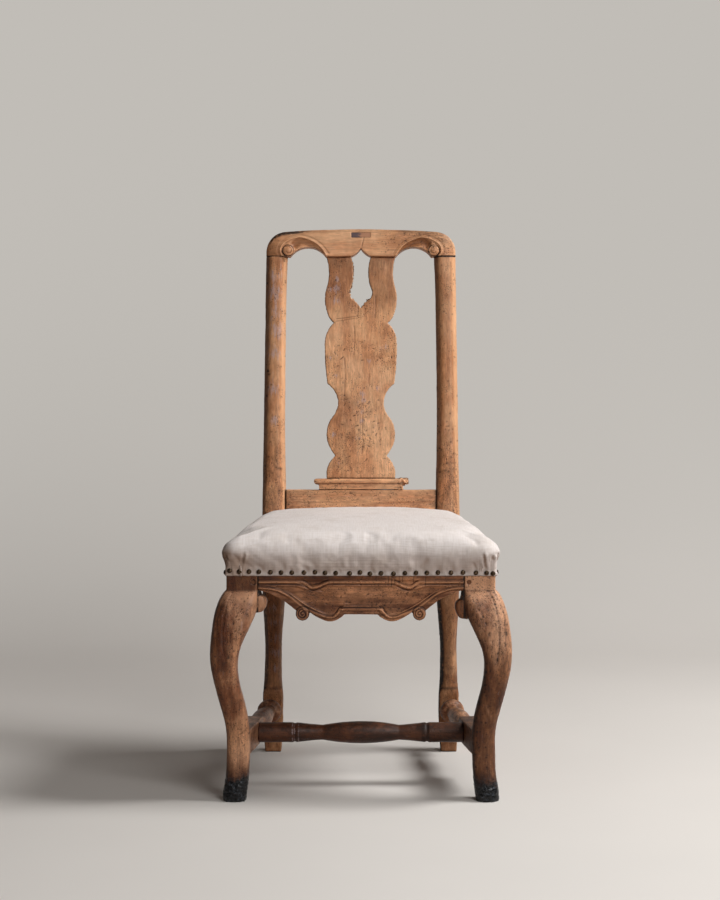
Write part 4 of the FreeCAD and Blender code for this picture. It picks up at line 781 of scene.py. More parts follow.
class CHAIR_OT_back(bpy.types.Operator):
    """Posts, carved crest, pierced splat, shoe and lower rail of the back"""

    bl_idname = "chair.back"
    bl_label = "Back"

    def execute(self, context):
        upright = wood_material("back_wood_upright", tones("back"), GRAIN_UPRIGHT, 0.38, 0.04)
        across = wood_material("back_wood_across", tones("back"), GRAIN_ACROSS, 0.38)
        chance = random.Random(seat().seed)
        for side, reach in (("left", (-184, -143)), ("right", (143, 184))):
            post = worn_copy("back_post_" + side, "worn_post_" + side, 1.25)
            for rounding in POST_ROUNDINGS:
                round_front(post, *rounding)
            mark_rows(post, POST_MARKS + SIDE_POST_MARKS[side])
            blot(post, "grime", POST_SPECKS[side], PIT_GRIME)
            for count, up in POST_PITS:
                scatter(post, chance, count, reach, up)
            if side == "left":
                blot(post, "paint", POST_PAINT, 0.85)
            stand_for(post, "wood", upright, "back_post_" + side)
        self.carve_crest(across)
        self.carve_splat(upright)
        rail = worn_copy("lower_back_rail", "worn_lower_rail")
        carve(rail, LOWER_BEAD, 2.2, -0.6, grime=0.12)
        mark_rows(rail, LOWER_RAIL_MARKS)
        scatter(rail, chance, 45, (-138, 138), (456, 508))
        stand_for(rail, "wood", across, "lower_back_rail")
        self.thin_shoe(across, chance)
        return {"FINISHED"}

    def thin_shoe(self, material, chance):
        """The shoe, with a thinner lip and a broken right end."""
        shoe = worn_copy("splat_shoe", "worn_shoe", 0.9, 3)
        spots = points_of(shoe)
        spots[:, 2] = MM * np.interp(spots[:, 2] / MM, SHOE_HEIGHTS, SHOE_THINNED)
        put_points(shoe, spots)
        mark_rows(shoe, SHOE_MARKS, behind_face=(spots[:, 1] - spots[:, 1].min()) / MM)
        chip(shoe, band(spots[:, 0] / MM, *SHOE_BROKEN), 5)
        scatter(shoe, chance, 16, (-84, 88), (508, 530))
        stand_for(shoe, "wood", material, "splat_shoe")

    def carve_crest(self, material):
        crest = worn_copy("crest_rail", "carved_crest", 0.7, 3)
        for turn in (list, mirrored):
            for path, width, height, grime in (
                    (smooth_path(CREST_COVE), 10.5, -4.2, 0), (smooth_path(CREST_BEAD), 2.3, 1.4, 0),
                    (smooth_path(CREST_LINE), 1.6, -0.5, 0.18), (ring(VOLUTE, 10.6), 2.0, -1.8, 0.7),
                    ([VOLUTE, VOLUTE], 8.5, 1.2, 0), (spiral(VOLUTE, 8.4, 3.6, 60, 330), 1.4, -0.8, 0.35)):
                carve(crest, raised(turn(path), CREST_JOINT), width, height, grime=grime)
        carve(crest, CREST_CRACK, 1.3, -0.6, grime=0.5)
        spots = points_of(crest) / MM
        aside, height = np.abs(spots[:, 0]), spots[:, 2]
        face = BACK_FACE + (height - BACK_FOOT) * BACK_LEAN
        outer = np.clip((aside - CREST_ROUND_START) / CREST_ROUND_WIDTH, 0, 1) ** 2.5
        spots[:, 1] += CREST_ROUND * outer * np.clip(1 - (spots[:, 1] - face) / CREST_ROUND_DEPTH, 0, 1)
        put_points(crest, spots * MM)
        cove = line_distance(np.stack([aside, height], 1), raised(smooth_path(CREST_COVE), CREST_JOINT))
        mark_rows(crest, CREST_MARKS, below_top=height - np.interp(aside, *CREST_TOP), behind_face=spots[:, 1] - face,
                  from_cove=cove)
        scatter(crest, random.Random(seat().seed), 40, (30, 178), (956, 998))
        stand_for(crest, "wood", material, "crest_rail")

    def carve_splat(self, material):
        splat = worn_copy("back_splat", "carved_splat", 0.84, 3)
        for path, grime in SPLAT_CUTS:
            carve(splat, smooth_path(path), 1.5, -0.6, grime=grime)
        for path in SPLAT_CRACKS:
            carve(splat, smooth_path(path), 1.3, -0.6, grime=0.45)
        for x, z, length, angle in SPLAT_NICKS:
            carve(splat, smooth_path(nick_path(x, z, length * 0.55, angle)), 1.3, -0.7, grime=PIT_GRIME)
        mark_rows(splat, SPLAT_MARKS)
        rim = 1 - np.clip((np.abs(points_of(splat, "normal")[:, 1]) - 0.45) / 0.4, 0, 1)
        opening = soft_step(1 - line_distance(front_view(splat), smooth_path(OPENING_EDGE)) / 9)
        chip(splat, rim * np.clip(0.16 + opening, 0, 1), 4.5)
        mark(splat, "grime", rim * (0.30 + 0.35 * opening))
        mark_rows(splat, SPLAT_SHADE)
        blot(splat, "wear", SPLAT_WEAR, 0.12)
        chance = random.Random(seat().seed)
        pits = [(chance.gauss(0, 24), chance.gauss(632, 34), chance.uniform(0.5, 1.5)) for _ in range(80)]
        pits += [(chance.gauss(0, 40), chance.uniform(700, 860), chance.uniform(0.5, 1.1)) for _ in range(30)]
        blot(splat, "grime", pits, PIT_GRIME)
        blot(splat, "paint", SPLAT_PAINT, 0.9)
        stand_for(splat, "wood", material, "back_splat")


# Seat frame: rails and knee scrolls
APRON_BEAD = [(-183, 377.5), (-153.5, 374.6), (-130.4, 365.6), (-99.2, 343), (-70.3, 329), (-52.5, 325.4),
              (-43, 330.5), (-37.8, 339.6)]
UPPER_MOULDING = [(-180, 388.5), (-112, 388.5), (-98, 386), (-86, 378.5), (-74, 380.5), (-62, 386), (-50, 388.3),
                  (0, 388.5)]
ROUNDEL = (101.9, 332.5)
APRON_NICKS = [(52, 352, 6, 40), (41, 347, 4, -20), (-20, 352, 5, 10), (-60, 350, 6, -30), (12, 366, 7, 15),
               (80, 368, 5, 60), (-35, 362, 5, 70), (66, 341, 5, 10)]
# A dark band under the seat's edge, left of the middle, is painted shadow of the seat over darker wood; the apron is
# also darker towards the left
APRON_MARKS = [("polish", 0.75, ("z", 388, 394), ("x", 60, 20)), ("polish", 0.3, ("x", 30, -80)),
               ("wear", 0.5, ("aside", 90, 30)), ("grime", 0.9, ("aside", 176.5, 178.5))]

# Scratches: x, low end and high end
APRON_SCRATCHES = [(47, 383, 398), (53, 381, 399), (58.5, 386, 397), (66, 382, 399), (72, 388, 398), (91, 388, 398),
                   (112, 384, 397)]

# Knee scrolls: low end and high end in metres, and how much darker each one is
SCROLLS = {"left": (0.3330, 0.3645, 0.2), "right": (0.3215, 0.3570, 0.95)}
SCROLL_DOME, SCROLL_SINK, SCROLL_NECK, SCROLL_ROOF = 0.0050, 0.0075, 0.0080, 0.376


class CHAIR_OT_seat_frame(bpy.types.Operator):
    """Scalloped front rail, plain side and rear rails, and the scrolls beside the knees"""

    bl_idname = "chair.seat_frame"
    bl_label = "Seat frame"

    def execute(self, context):
        across = wood_material("rail_wood_across", tones("rail"), GRAIN_ACROSS, 0.9, 0.02, 0.2)
        along = wood_material("rail_wood_along", tones("rail"), GRAIN_ALONG, 0.2)
        self.carve_apron(across)
        for side in ("left", "right"):
            rail = worn_copy("side_seat_rail_" + side, "worn_side_rail_" + side, 1.6, 3, 0.6)
            stand_for(rail, "wood", along, "side_seat_rail_" + side)
            for place in ("front", "side"):
                node = f"knee_scroll_{place}_{side}"
                scroll = worn_copy(node, f"carved_scroll_{place}_{side}", 0.7, 16, 0.7)
                self.round_scroll(scroll, place == "front", *SCROLLS[side])
                stand_for(scroll, "wood", leg_material(), node)
        rear = worn_copy("rear_seat_rail", "worn_rear_rail", 1.6, 3, 0.6)
        stand_for(rear, "wood", across, "rear_seat_rail")
        return {"FINISHED"}

    def carve_apron(self, material):
        apron = worn_copy("front_seat_rail", "carved_apron", 0.8, 3)
        for turn in (list, mirrored):
            upper = turn(smooth_path(UPPER_MOULDING))
            # The moulding gets a painted highlight along its ridge
            carve(apron, upper, 3.4, 2.2, rub=0.75)
            carve(apron, raised(upper, -4.6), 2.6, -1.6, grime=0.42)
            carve(apron, raised(upper, 4.4), 2.4, -1.0, grime=0.30)
            middle = turn([ROUNDEL])[0]
            carve(apron, spiral(middle, 8.6, 1.5, 90, 660), 1.6, -1.4, grime=0.9)
            carve(apron, ring(middle, 12.8), 2.0, -0.8, grime=0.8)
        lower = smooth_path(APRON_BEAD) + smooth_path(mirrored(APRON_BEAD)[::-1])
        # The lower bead gets a painted highlight along its ridge
        carve(apron, lower, 2.8, 1.7, rub=0.85)
        carve(apron, raised(lower, 4.2), 2.6, -1.6, grime=0.40)
        for x, z, length, angle in APRON_NICKS:
            carve(apron, nick_path(x, z, length * 0.6, angle), 1.6, -0.9, grime=PIT_GRIME)
        for x, low, high in APRON_SCRATCHES:
            carve(apron, [(x, low), (x + 0.6, high)], 1.3, -0.6, grime=0.7)
        mark_rows(apron, APRON_MARKS)
        scatter(apron, random.Random(seat().seed), 60, (-105, 110), (328, 374))
        stand_for(apron, "wood", material, "front_seat_rail")

    def round_scroll(self, scroll, front, low, high, polish):
        """Makes the scroll a domed oval that runs into the leg and hangs from the rail by a neck; the neck and the gap
        to the leg are painted dark as shade, and the dome gets a painted highlight.
        """
        spots = points_of(scroll)
        out, face = (0, 1) if front else (1, 0)
        sign = np.sign(spots[:, face].mean())
        near, far = spots[:, out].min(), spots[:, out].max()
        leg, toward = (near, -1) if spots[:, out].mean() < 0 or not front else (far, 1)
        foot, head = spots[:, 2].min(), spots[:, 2].max()
        inward = np.abs(spots[:, out] - leg) / (far - near)
        bow = np.clip(1 - inward ** 2 - (2 * (spots[:, 2] - foot) / (head - foot) - 1) ** 2, 0, 1)
        depth = sign * spots[:, face]
        spots[:, face] += sign * SCROLL_DOME * np.sqrt(bow) * band(depth, depth.min(), depth.max())
        neck = band(spots[:, 2], head - 0.0050, head - 0.0015)
        spots[:, out] += toward * SCROLL_SINK * band(inward, 0.45, 0.05) * (1 - neck)
        closed = head - SCROLL_NECK
        half = (closed - foot) / 2
        upper = np.clip((spots[:, 2] - foot - half) / half, 0, 1)
        narrow = np.maximum((1 - upper ** 3) ** (1 / 3), 0.5)
        spots[:, out] = leg + (spots[:, out] - leg) * narrow
        dark = band(spots[:, 2], closed - 0.0015, closed + 0.0005)
        hung = low + (spots[:, 2] - foot) * (high - low) / (closed - foot)
        spots[:, 2] = hung + (SCROLL_ROOF - hung) * neck
        put_points(scroll, spots)
        past = toward * (spots[:, out] - leg)
        # Painted shade on the neck and in the gap beside the leg
        mark(scroll, "grime", dark + band(past, -0.0024, -0.0006) * band(past, 0.0040, 0.0020))
        mark(scroll, "polish", polish)
        # A painted highlight on the dome, weaker on the darker scroll
        mark(scroll, "rub", 0.45 * (1 - polish) * band(bow, 0.3, 0.8))


# Front legs
KNEE_RIDGES = [[(222, 372), (231, 356), (237.5, 332), (240, 306), (239, 276), (235, 250)],
               [(231, 371), (242, 352), (249, 330), (251.5, 306), (250, 280)]]
KNEE_NICKS = [(203, 343, 7, -35), (212, 331, 6, -50), (217, 319, 7, -60), (222, 300, 8, -70), (228, 288, 6, 80),
              (208, 326, 5, -20), (226, 262, 7, 85), (219, 276, 5, 70), (233, 318, 6, -75), (214, 306, 5, -45),
              (224, 236, 6, 80), (210, 214, 6, 75)]
SHOWN_PEG = (-186.2, 388.2)
LEG_HEIGHTS, LEG_MIDDLES = (50, 117, 190, 262, 335), (203, 198, 209, 220, 202)
KNEE_OUTSIDE = ("aside", 222, 246), ("z", 200, 260)
BLOCK, UNDER_BLOCK = ("z", 372.5, 376.5), ("z", 376.5, 372.5)
# Painted highlight on the tops of the knees; painted shade on the left-facing sides and along the step under the block
LEG_MARKS = [
    ("wear", 0.8, *KNEE_OUTSIDE), ("rub", 0.5, ("z", 345, 362), ("z", 374, 370)),
    ("grime", 0.45, ("left", 0.60, 0.92), ("z", 376, 372)), ("grime", 0.3, ("z", 2.2, 0.8, 373.5)),
    ("grime", 0.9, ("aside", 181.5, 179.5), BLOCK)]
SIDE_LEG_MARKS = {
    # Left leg: the block painted dark as the seat's shadow, the outer side of the knee as shade; the upper leg is
    # darker
    "left": [("polish", 1.0, BLOCK), ("polish", 0.6, *KNEE_OUTSIDE), ("polish", 0.2, ("z", 200, 260)),
             ("grime", 0.25, BLOCK)],
    # Right leg: painted shade on the lower leg and its inner side, painted highlights on the block and the outer side
    # of the knee
    "right": [("polish", 0.9, ("z", 300, 220), UNDER_BLOCK), ("rub", 0.85, BLOCK),
              ("polish", 0.75, ("aside", 236, 212), ("z", 365, 335), UNDER_BLOCK),
              ("rub", 0.5, *KNEE_OUTSIDE, ("z", 300, 330)), ("grime", 0.35, ("z", 250, 180)),
              ("wear", 0.4, ("z", 60, 120))]}

# Legs in metres: the head hidden by the linen, how far it is set in, and the chipped part of the hoof
LEG_HIDDEN, LEG_INSET, HOOF_CHIPPED = (0.4010, 0.4040), 0.0016, (0.050, 0.036)


def leg_material():
    return wood_material("leg_wood", tones("leg"), GRAIN_UPRIGHT, 0.85, 0.04, 0.10, black_hoof)


class CHAIR_OT_front_legs(bpy.types.Operator):
    """Cabriole front legs with ridged knees and black hooves"""

    bl_idname = "chair.front_legs"
    bl_label = "Front legs"

    def execute(self, context):
        chance = random.Random(seat().seed)
        for side, turn, worn, nick_shift, pit_count in (("left", mirrored, 0.3, 4, 45), ("right", list, 1.0, 0, 90)):
            leg = worn_copy("front_leg_" + side, "worn_leg_" + side)
            for ridge in KNEE_RIDGES:
                path = turn(smooth_path(ridge))
                carve(leg, path, 3.0, -0.6, "NORMAL", grime=0.40 * worn, paint=0.35 * worn)
                pits = [(x + chance.gauss(0, 1.8), z + chance.gauss(0, 3), chance.uniform(0.5, 1.7)) for x, z in path]
                blot(leg, "grime", pits, PIT_GRIME * worn)
            for x, z, length, angle in KNEE_NICKS:
                nick = nick_path(x + nick_shift, z, length * 0.5, angle)
                carve(leg, turn(nick), 1.6, -0.7, "NORMAL", grime=PIT_GRIME)
            ups = [chance.uniform(60, 365) for _ in range(pit_count)]
            pits = [(np.interp(up, LEG_HEIGHTS, LEG_MIDDLES) + chance.gauss(0, 12), up) for up in ups]
            blot(leg, "grime", [(*pit, chance.uniform(0.6, 1.7)) for pit in turn(pits)], PIT_GRIME)
            mark_rows(leg, LEG_MARKS + SIDE_LEG_MARKS[side])
            spots = points_of(leg)
            covered = LEG_INSET * band(spots[:, 2], *LEG_HIDDEN)
            spots[:, 0] -= np.sign(spots[:, 0]) * covered
            spots[:, 1] += covered
            put_points(leg, spots)
            chip(leg, band(spots[:, 2], *HOOF_CHIPPED), 0.9)
            if side == "left":
                carve(leg, [SHOWN_PEG, SHOWN_PEG], 5.6, -1.4)
                carve(leg, ring(SHOWN_PEG, 4.1), 1.2, -0.4, grime=0.8)
            stand_for(leg, "wood", leg_material(), "front_leg_" + side)
        return {"FINISHED"}


# Stretchers, pegs and patch
STRETCHER_BLOCK = ("y", -20, -60)
# The front blocks are darker, the right one painted dark as shade
STRETCHER_MARKS = {"left": [("polish", 0.4, STRETCHER_BLOCK)],
                   "right": [("polish", 1.0, STRETCHER_BLOCK), ("grime", 0.5, STRETCHER_BLOCK)]}
CROSS_MARKS = [("paint", 0.8, ("x", 1.6, 0.6, line)) for line in (-123.5, -119.5, -112.5)]
CROSS_MARKS += [("grime", 0.6, ("x", 9, 5, 116.5))]


class CHAIR_OT_stretchers(bpy.types.Operator):
    """Side stretchers with square front blocks, and the foot-worn cross stretcher"""

    bl_idname = "chair.stretchers"
    bl_label = "Stretchers"

    def execute(self, context):
        along = wood_material("side_stretcher_wood", tones("leg"), GRAIN_ALONG, 0.8, 0.06, 0.25, foot_worn)
        across = wood_material("cross_stretcher_wood", tones("bar"), GRAIN_ACROSS, 0.9, 0.08, 0.25, foot_worn)
        for side in ("left", "right"):
            bar = worn_copy("side_stretcher_" + side, "worn_stretcher_" + side, 1.05, 2, 0.8)
            mark_rows(bar, STRETCHER_MARKS[side])
            stand_for(bar, "wood", along, "side_stretcher_" + side)
        bar = worn_copy("cross_stretcher", "worn_cross_stretcher", 1.0, 2, 0.8)
        mark_rows(bar, CROSS_MARKS)
        stand_for(bar, "wood", across, "cross_stretcher")
        return {"FINISHED"}


class CHAIR_OT_pegs(bpy.types.Operator):
    """Finish of the joint pegs and of the let-in patch in the crest"""

    bl_idname = "chair.pegs"
    bl_label = "Pegs and patch"

    def execute(self, context):
        peg = wood_material("peg_end_grain", (wood().peg, darker(wood().peg, 0.6)), GRAIN_ALONG, 0.2)
        patch = wood_material("let_in_patch", (wood().patch, darker(wood().patch, 0.8)), GRAIN_ACROSS, 0.3, 0.1, 0.1,
                              two_tone_patch)
        for node, shown in frame["nodes"].items():
            for holder in shown.material_slots:
                if "pegs" in node:
                    holder.material = peg
                if node == "crest_patch":
                    holder.material = patch
        return {"FINISHED"}


# Linen seat, in metres
SEAT_FRONT, SEAT_HALF_FRONT = -0.2250, 0.2368
SEAT_SLOPE = 47.5 / 372
SLANT = math.hypot(1, SEAT_SLOPE)
POST_FRONT, POST_INNER, SEAT_REAR = 0.1478, 0.1418, 0.1842
HEM, NAIL_FOLD, RIM, CROWN, DOME, NOTCH_HEM = 0.3995, 0.411, 0.437, 0.0240, 0.0105, 0.4278
BULGE, ROLL, REAR_ROLL, SLOPE, CORNER, HEM_CORNER = 0.0076, 0.040, 0.035, 0.170, 0.034, 0.005
REAR_RISE, SWELL, SWELL_WIDTH = 0.006, 0.004, 0.24
COLUMNS, ROWS, TONGUE_ROWS, SKIRT_ROWS = 112, 98, 10, 10
MOVE_CAP, CLEAR, NEAR = 0.007, 0.0002, 0.001
RAIL_TOP = 0.4285
SLACK, SLACK_HEIGHT, SLACK_SPREAD, SLACK_REACH = 0.0013, 0.412, 0.010, 0.0093
WRINKLE, WRINKLE_HEIGHT, WRINKLE_SPREAD, WRINKLE_MIDDLE, WRINKLE_WIDTH = 0.0011, 0.4185, 0.0075, -0.02, 0.07
WRINKLE_LEAN, WRINKLE_RATE = 0.012, 1150
FILL_FRAMES, NAIL_GRIP, NAIL_HOLD, SLACK_HOLD = 20, 0.0035, 0.95, 0.25
FILLING = {"quality": 6, "mass": 0.25, "tension_stiffness": 14, "compression_stiffness": 8, "bending_stiffness": 0.4,
           "shrink_min": -0.025, "use_pressure": True, "vertex_group_mass": "held"}

# Marks of the linen in millimetres: mask, amount and ranges. The lower front is darker as a stain with painted shade,
# the left side and the front left corner as painted shade
LINEN_LOWER = ("z", 456, 412), ("front", 0.2, 0.8)
LINEN_MARKS = [("soil", 0.20, *LINEN_LOWER), ("soil", 0.30, *LINEN_LOWER, ("z", 404, 409)),
               ("soil", 0.85, ("z", 464, 428), ("left", 0.05, 0.6)),
               ("soil", 0.60, ("z", 450, 430), ("x", -175, -215), ("front", 0.2, 0.6))]

# Creases in millimetres: width of a dip, width and place of the lip beside it, then lines with their depths
CREASE, CREASE_LIP, CREASE_LIP_SHIFT = 3.6, 5.0, 4.5
FRONT_CREASES = [([(-226, 402), (-229.5, 417), (-235, 432)], 2.6), ([(-211, 403), (-208, 420), (-203.5, 437)], 3.0),
                 ([(-196, 403), (-199, 414)], 1.8), ([(217, 402), (214.5, 418), (212, 437)], 3.4),
                 ([(226, 402), (227.5, 417), (229, 433)], 4.2), ([(232, 403), (236, 418), (240, 436)], 4.2),
                 ([(200, 403), (196, 420)], 1.6), ([(150, 403), (147, 412)], 1.0), ([(-120, 403), (-123, 413)], 1.0)]
SIDE_CREASES = [([(-214, 402), (-209, 420), (-203, 434)], 3.4), ([(-203, 402), (-196, 422)], 2.4),
                ([(-180, 402), (-178, 414)], 1.2)]

# Front nails in millimetres: x and height over the row
FRONT_NAILS = [
    (-228.3, 3.2), (-211.6, 1.6), (-194.6, 1.6), (-177.6, 1.4), (-157.4, 0.8), (-139, 0.2), (-120.2, 0), (-99, 0.2),
    (-79.9, 0.8), (-62.5, -0.4), (-43.9, -0.8), (-19.8, -1.6), (-1.7, 0.4), (15.7, -2), (34.8, -1), (56.5, -1.8),
    (76.5, -0.9), (95.6, -0.4), (114.7, -0.4), (133.8, 0.2), (156.4, -0.2), (177.3, 0.4), (199.9, -0.2),
    (218.5, -0.4), (229.6, -1.4)]
FRONT_NAIL_X = np.array(FRONT_NAILS)[:, 0] / 1000


def half_width(y):
    """Half the width of the nailed cover at a depth."""
    return SEAT_HALF_FRONT - SEAT_SLOPE * (np.minimum(y, POST_FRONT) - SEAT_FRONT)


def roll(distance, radius):
    """Rise of a rounded edge at a distance from it."""
    return np.sqrt(1 - (1 - np.clip(distance / radius, 0, 1)) ** 2)


def round_corner(x, y, half, front, radius):
    """Pulls the square front corners of the plan in to an arc."""
    a = (np.abs(x) - (half - radius)) / radius
    b = (front + radius - y) / radius
    inside = (a > 0) & (b > 0)
    share = np.where(inside, np.maximum(a, b) / np.maximum(np.hypot(a, b), 1e-9), 1)
    return (np.where(inside, np.sign(x) * (half - radius + a * radius * share), x),
            np.where(inside, front + radius - b * radius * share, y))


def seat_grid(name, columns, rows, tongue_rows, grow, corner):
    """A flat sheet with the seat's outline, notched round the posts."""
    bpy.ops.mesh.primitive_grid_add(x_subdivisions=columns, y_subdivisions=rows + tongue_rows, size=2)
    sheet = name_piece(bpy.context.active_object, name)
    spots = points_of(sheet)
    across = spots[:, 0]
    step = np.rint((spots[:, 1] + 1) / 2 * (rows + tongue_rows))
    back = np.clip((step - rows) / tongue_rows, 0, 1)
    front = SEAT_FRONT - grow
    spots[:, 1] = front + np.clip(step / rows, 0, 1) * (POST_FRONT - front) + back * (SEAT_REAR - POST_FRONT)
    inner = POST_INNER / (half_width(POST_FRONT) + grow)
    stop = round(inner * columns / 2) / (columns / 2)
    across = np.where(np.abs(across) <= stop, across / stop * inner,
                      np.sign(across) * (inner + (np.abs(across) - stop) / (1 - stop) * (1 - inner)))
    half = half_width(spots[:, 1]) + grow
    spots[:, 0], spots[:, 1] = round_corner(across * half, spots[:, 1], half, front, corner)
    put_points(sheet, spots)
    edit_parts(sheet, "FACE", lambda face: abs(face.center.x) > POST_INNER and face.center.y > POST_FRONT)
    bpy.ops.mesh.delete(type="FACE")
    leave_edit()
    return sheet


def crown_height(x, y):
    """Height of the stuffed top over its plan."""
    half = half_width(y) + BULGE
    front = y - (SEAT_FRONT - BULGE)
    side = half - np.abs(x)
    near = np.hypot(np.clip(CORNER - front, 0, None), np.clip(CORNER - side, 0, None))
    edge = np.where((front < CORNER) & (side < CORNER), CORNER - near, np.minimum(front, side))
    edge = np.maximum(edge, 0)
    back = 0.62 + 0.38 * roll(SEAT_REAR + 0.004 - y, REAR_ROLL)
    both = roll(edge, ROLL) * 0.6 + 0.4 * roll(front, ROLL) * roll(side, ROLL)
    dome = 1 - (1 - np.clip(edge / SLOPE, 0, 1)) ** 2
    rise = REAR_RISE * np.clip((y - SEAT_FRONT) / (POST_FRONT - SEAT_FRONT), 0, 1)
    swell = SWELL * np.cos(x / SWELL_WIDTH) * np.cos((y + 0.03) / SWELL_WIDTH)
    return RIM + rise * (1 - both) + (CROWN * both + DOME * dome) * back + swell


def linen_sheet():
    """The shaped cover before it is filled: crowned top, rolled edge and a skirt down to the hem."""
    cover = seat_grid("linen_seat", COLUMNS, ROWS, TONGUE_ROWS, BULGE, CORNER)
    spots = points_of(cover)
    spots[:, 2] = crown_height(spots[:, 0], spots[:, 1])
    put_points(cover, spots)
    only(cover)
    bpy.ops.object.mode_set(mode="EDIT")
    bpy.ops.mesh.select_mode(type="EDGE")
    bpy.ops.mesh.select_all(action="DESELECT")
    bpy.ops.mesh.select_non_manifold()
    for _ in range(SKIRT_ROWS):
        bpy.ops.mesh.extrude_edges_move(TRANSFORM_OT_translate={"value": (0, 0, -1)})
    bpy.ops.mesh.select_all(action="SELECT")
    bpy.ops.mesh.normals_make_consistent(inside=False)
    leave_edit()
    settle_order(cover)
    hang_skirt(cover)
    return cover


def settle_order(piece):
    """Sorts the faces and edges, which extruding leaves in a chance order, so the cloth folds the same each run."""
    turned = []
    for face in piece.data.polygons:
        corners = list(face.vertices)
        first = corners.index(min(corners))
        turned.append(corners[first:] + corners[:first])
    sheet = bmesh.new()
    spots = [sheet.verts.new(vertex.co) for vertex in piece.data.vertices]
    for corners in sorted(turned):
        sheet.faces.new([spots[index] for index in corners])
    sheet.to_mesh(piece.data)
    sheet.free()


def corner_point(share, radius):
    """A place on the way round a front corner, in from its square tip: back along the side, then in along the front."""
    straight, bend = CORNER - radius, radius * math.pi / 2
    way = share * (2 * straight + bend)
    turn = np.clip((way - straight) / np.maximum(radius, 1e-6), 0, math.pi / 2)
    back = np.maximum(straight - way, 0) + radius * (1 - np.sin(turn))
    inward = np.maximum(way - straight - bend, 0) + radius * (1 - np.cos(turn))
    return back, inward


def hang_skirt(cover):
    """Sets each extruded row of the skirt, which stands a metre or more below its place, to its height and outline."""
    spots = points_of(cover)
    x, y, z = spots.T.copy()
    row = np.where(z > 0, 0, np.floor(-z) + 1)
    skirt = row > 0
    top = z + row
    notch = (np.abs(x) > POST_INNER - NEAR / 2) & (y > POST_FRONT - NEAR) & (y < SEAT_REAR - NEAR)
    height = np.where(skirt, top + (np.where(notch, NOTCH_HEM, HEM) - top) * row / SKIRT_ROWS, z)
    pull = BULGE * (1 - band(height, NAIL_FOLD, RIM)) * skirt
    front = SEAT_FRONT - BULGE
    ahead = front + CORNER - y
    aside = np.abs(x) - (half_width(y) + BULGE - CORNER)
    turned = (aside > 0) & (ahead > 0) & skirt
    radius = HEM_CORNER + (CORNER - HEM_CORNER) * band(height, HEM, RIM)
    back, inward = corner_point(np.clip(np.arctan2(ahead, aside) / (math.pi / 2), 0, 1), radius)
    depth = front + pull + back
    corner_x = np.sign(x) * (half_width(depth) + BULGE - pull - inward)
    frontal, tucked = y < front + NEAR, y > POST_FRONT - NEAR
    out_x = np.where(frontal | tucked, 0, np.sign(x) / SLANT)
    out_y = np.where(tucked, 0, np.where(frontal, -1, SEAT_SLOPE / SLANT))
    spots[:, 0] = np.where(turned, corner_x, x - out_x * pull)
    spots[:, 1] = np.where(turned, depth, y - out_y * pull)
    spots[:, 2] = height
    put_points(cover, spots)


def fill_linen(cover):
    """Lets the stuffing press the linen out between its nails."""
    start = points_of(cover)
    held = cover.vertex_groups.new(name="held")
    for index, (x, y, z) in enumerate(start):
        tucked = y > POST_FRONT - 2 * NEAR
        nailed = np.min(np.abs(FRONT_NAIL_X - x)) < NAIL_GRIP or y > SEAT_FRONT + 0.02
        low = z < NAIL_FOLD - NEAR
        hold = 1.0 if z < HEM + 0.003 or tucked else NAIL_HOLD if low and nailed else SLACK_HOLD if low else 0.0
        if hold:
            held.add([index], hold, "REPLACE")
    only(cover)
    cloth = cover.modifiers.new("filling", "CLOTH")
    for name, value in FILLING.items():
        setattr(cloth.settings, name, value)
    cloth.settings.uniform_pressure_force = seat().pressure
    cloth.settings.effector_weights.gravity = 0
    cloth.point_cache.frame_start = 1
    cloth.point_cache.frame_end = FILL_FRAMES
    for step in range(1, FILL_FRAMES + 1):
        bpy.context.scene.frame_set(step)
    bpy.ops.object.modifier_apply(modifier="filling")
    bpy.context.scene.frame_set(1)
    moved = points_of(cover) - start
    length = np.linalg.norm(moved, axis=1)
    capped = MOVE_CAP * np.tanh(length / MOVE_CAP)
    put_points(cover, start + moved * (capped / np.maximum(length, 1e-9))[:, None])
    cover.vertex_groups.remove(cover.vertex_groups["held"])


def gather_linen(cover):
    """Pleats at the front corners, dips at the nails, and slack between them."""
    spots = points_of(cover)
    normals = points_of(cover, "normal")
    x, y, z = spots.T
    flat = np.stack([x, z], 1)
    facing = (y < SEAT_FRONT + 0.016) * band(-normals[:, 1], 0.05, 0.35)
    for path, depth in FRONT_CREASES:
        dip = soft_step(1 - line_distance(flat / MM, path) / CREASE)
        beside = [(px + CREASE_LIP_SHIFT, pz) for px, pz in path]
        lip = soft_step(1 - line_distance(flat / MM, beside) / CREASE_LIP)
        spots += normals * (depth * MM * (0.5 * lip - dip) * facing)[:, None]
    aside = np.stack([y, z], 1)
    for sign in (-1, 1):
        facing = (x * sign > 0.15) * band(normals[:, 0] * sign, 0.05, 0.35)
        for path, depth in SIDE_CREASES:
            dip = soft_step(1 - line_distance(aside / MM, path) / CREASE)
            spots -= normals * (depth * MM * dip * facing)[:, None]
    frontal = y < SEAT_FRONT + 0.012
    along = np.where(frontal, np.min(np.abs(x[:, None] - FRONT_NAIL_X), axis=1) / SLACK_REACH,
                     np.abs(np.sin(math.pi * y / seat().nail_spacing)))
    slack = np.clip(along, 0, 1) ** 1.5 * np.exp(-((z - SLACK_HEIGHT) / SLACK_SPREAD) ** 2)
    spots += normals * (SLACK * slack)[:, None]
    wrinkle = np.exp(-((z - WRINKLE_HEIGHT) / WRINKLE_SPREAD) ** 2 - ((x - WRINKLE_MIDDLE) / WRINKLE_WIDTH) ** 2)
    wave = np.sin((z + WRINKLE_LEAN * x) * WRINKLE_RATE)
    spots += normals * (WRINKLE * wave * wrinkle * frontal)[:, None]
    put_points(cover, spots)


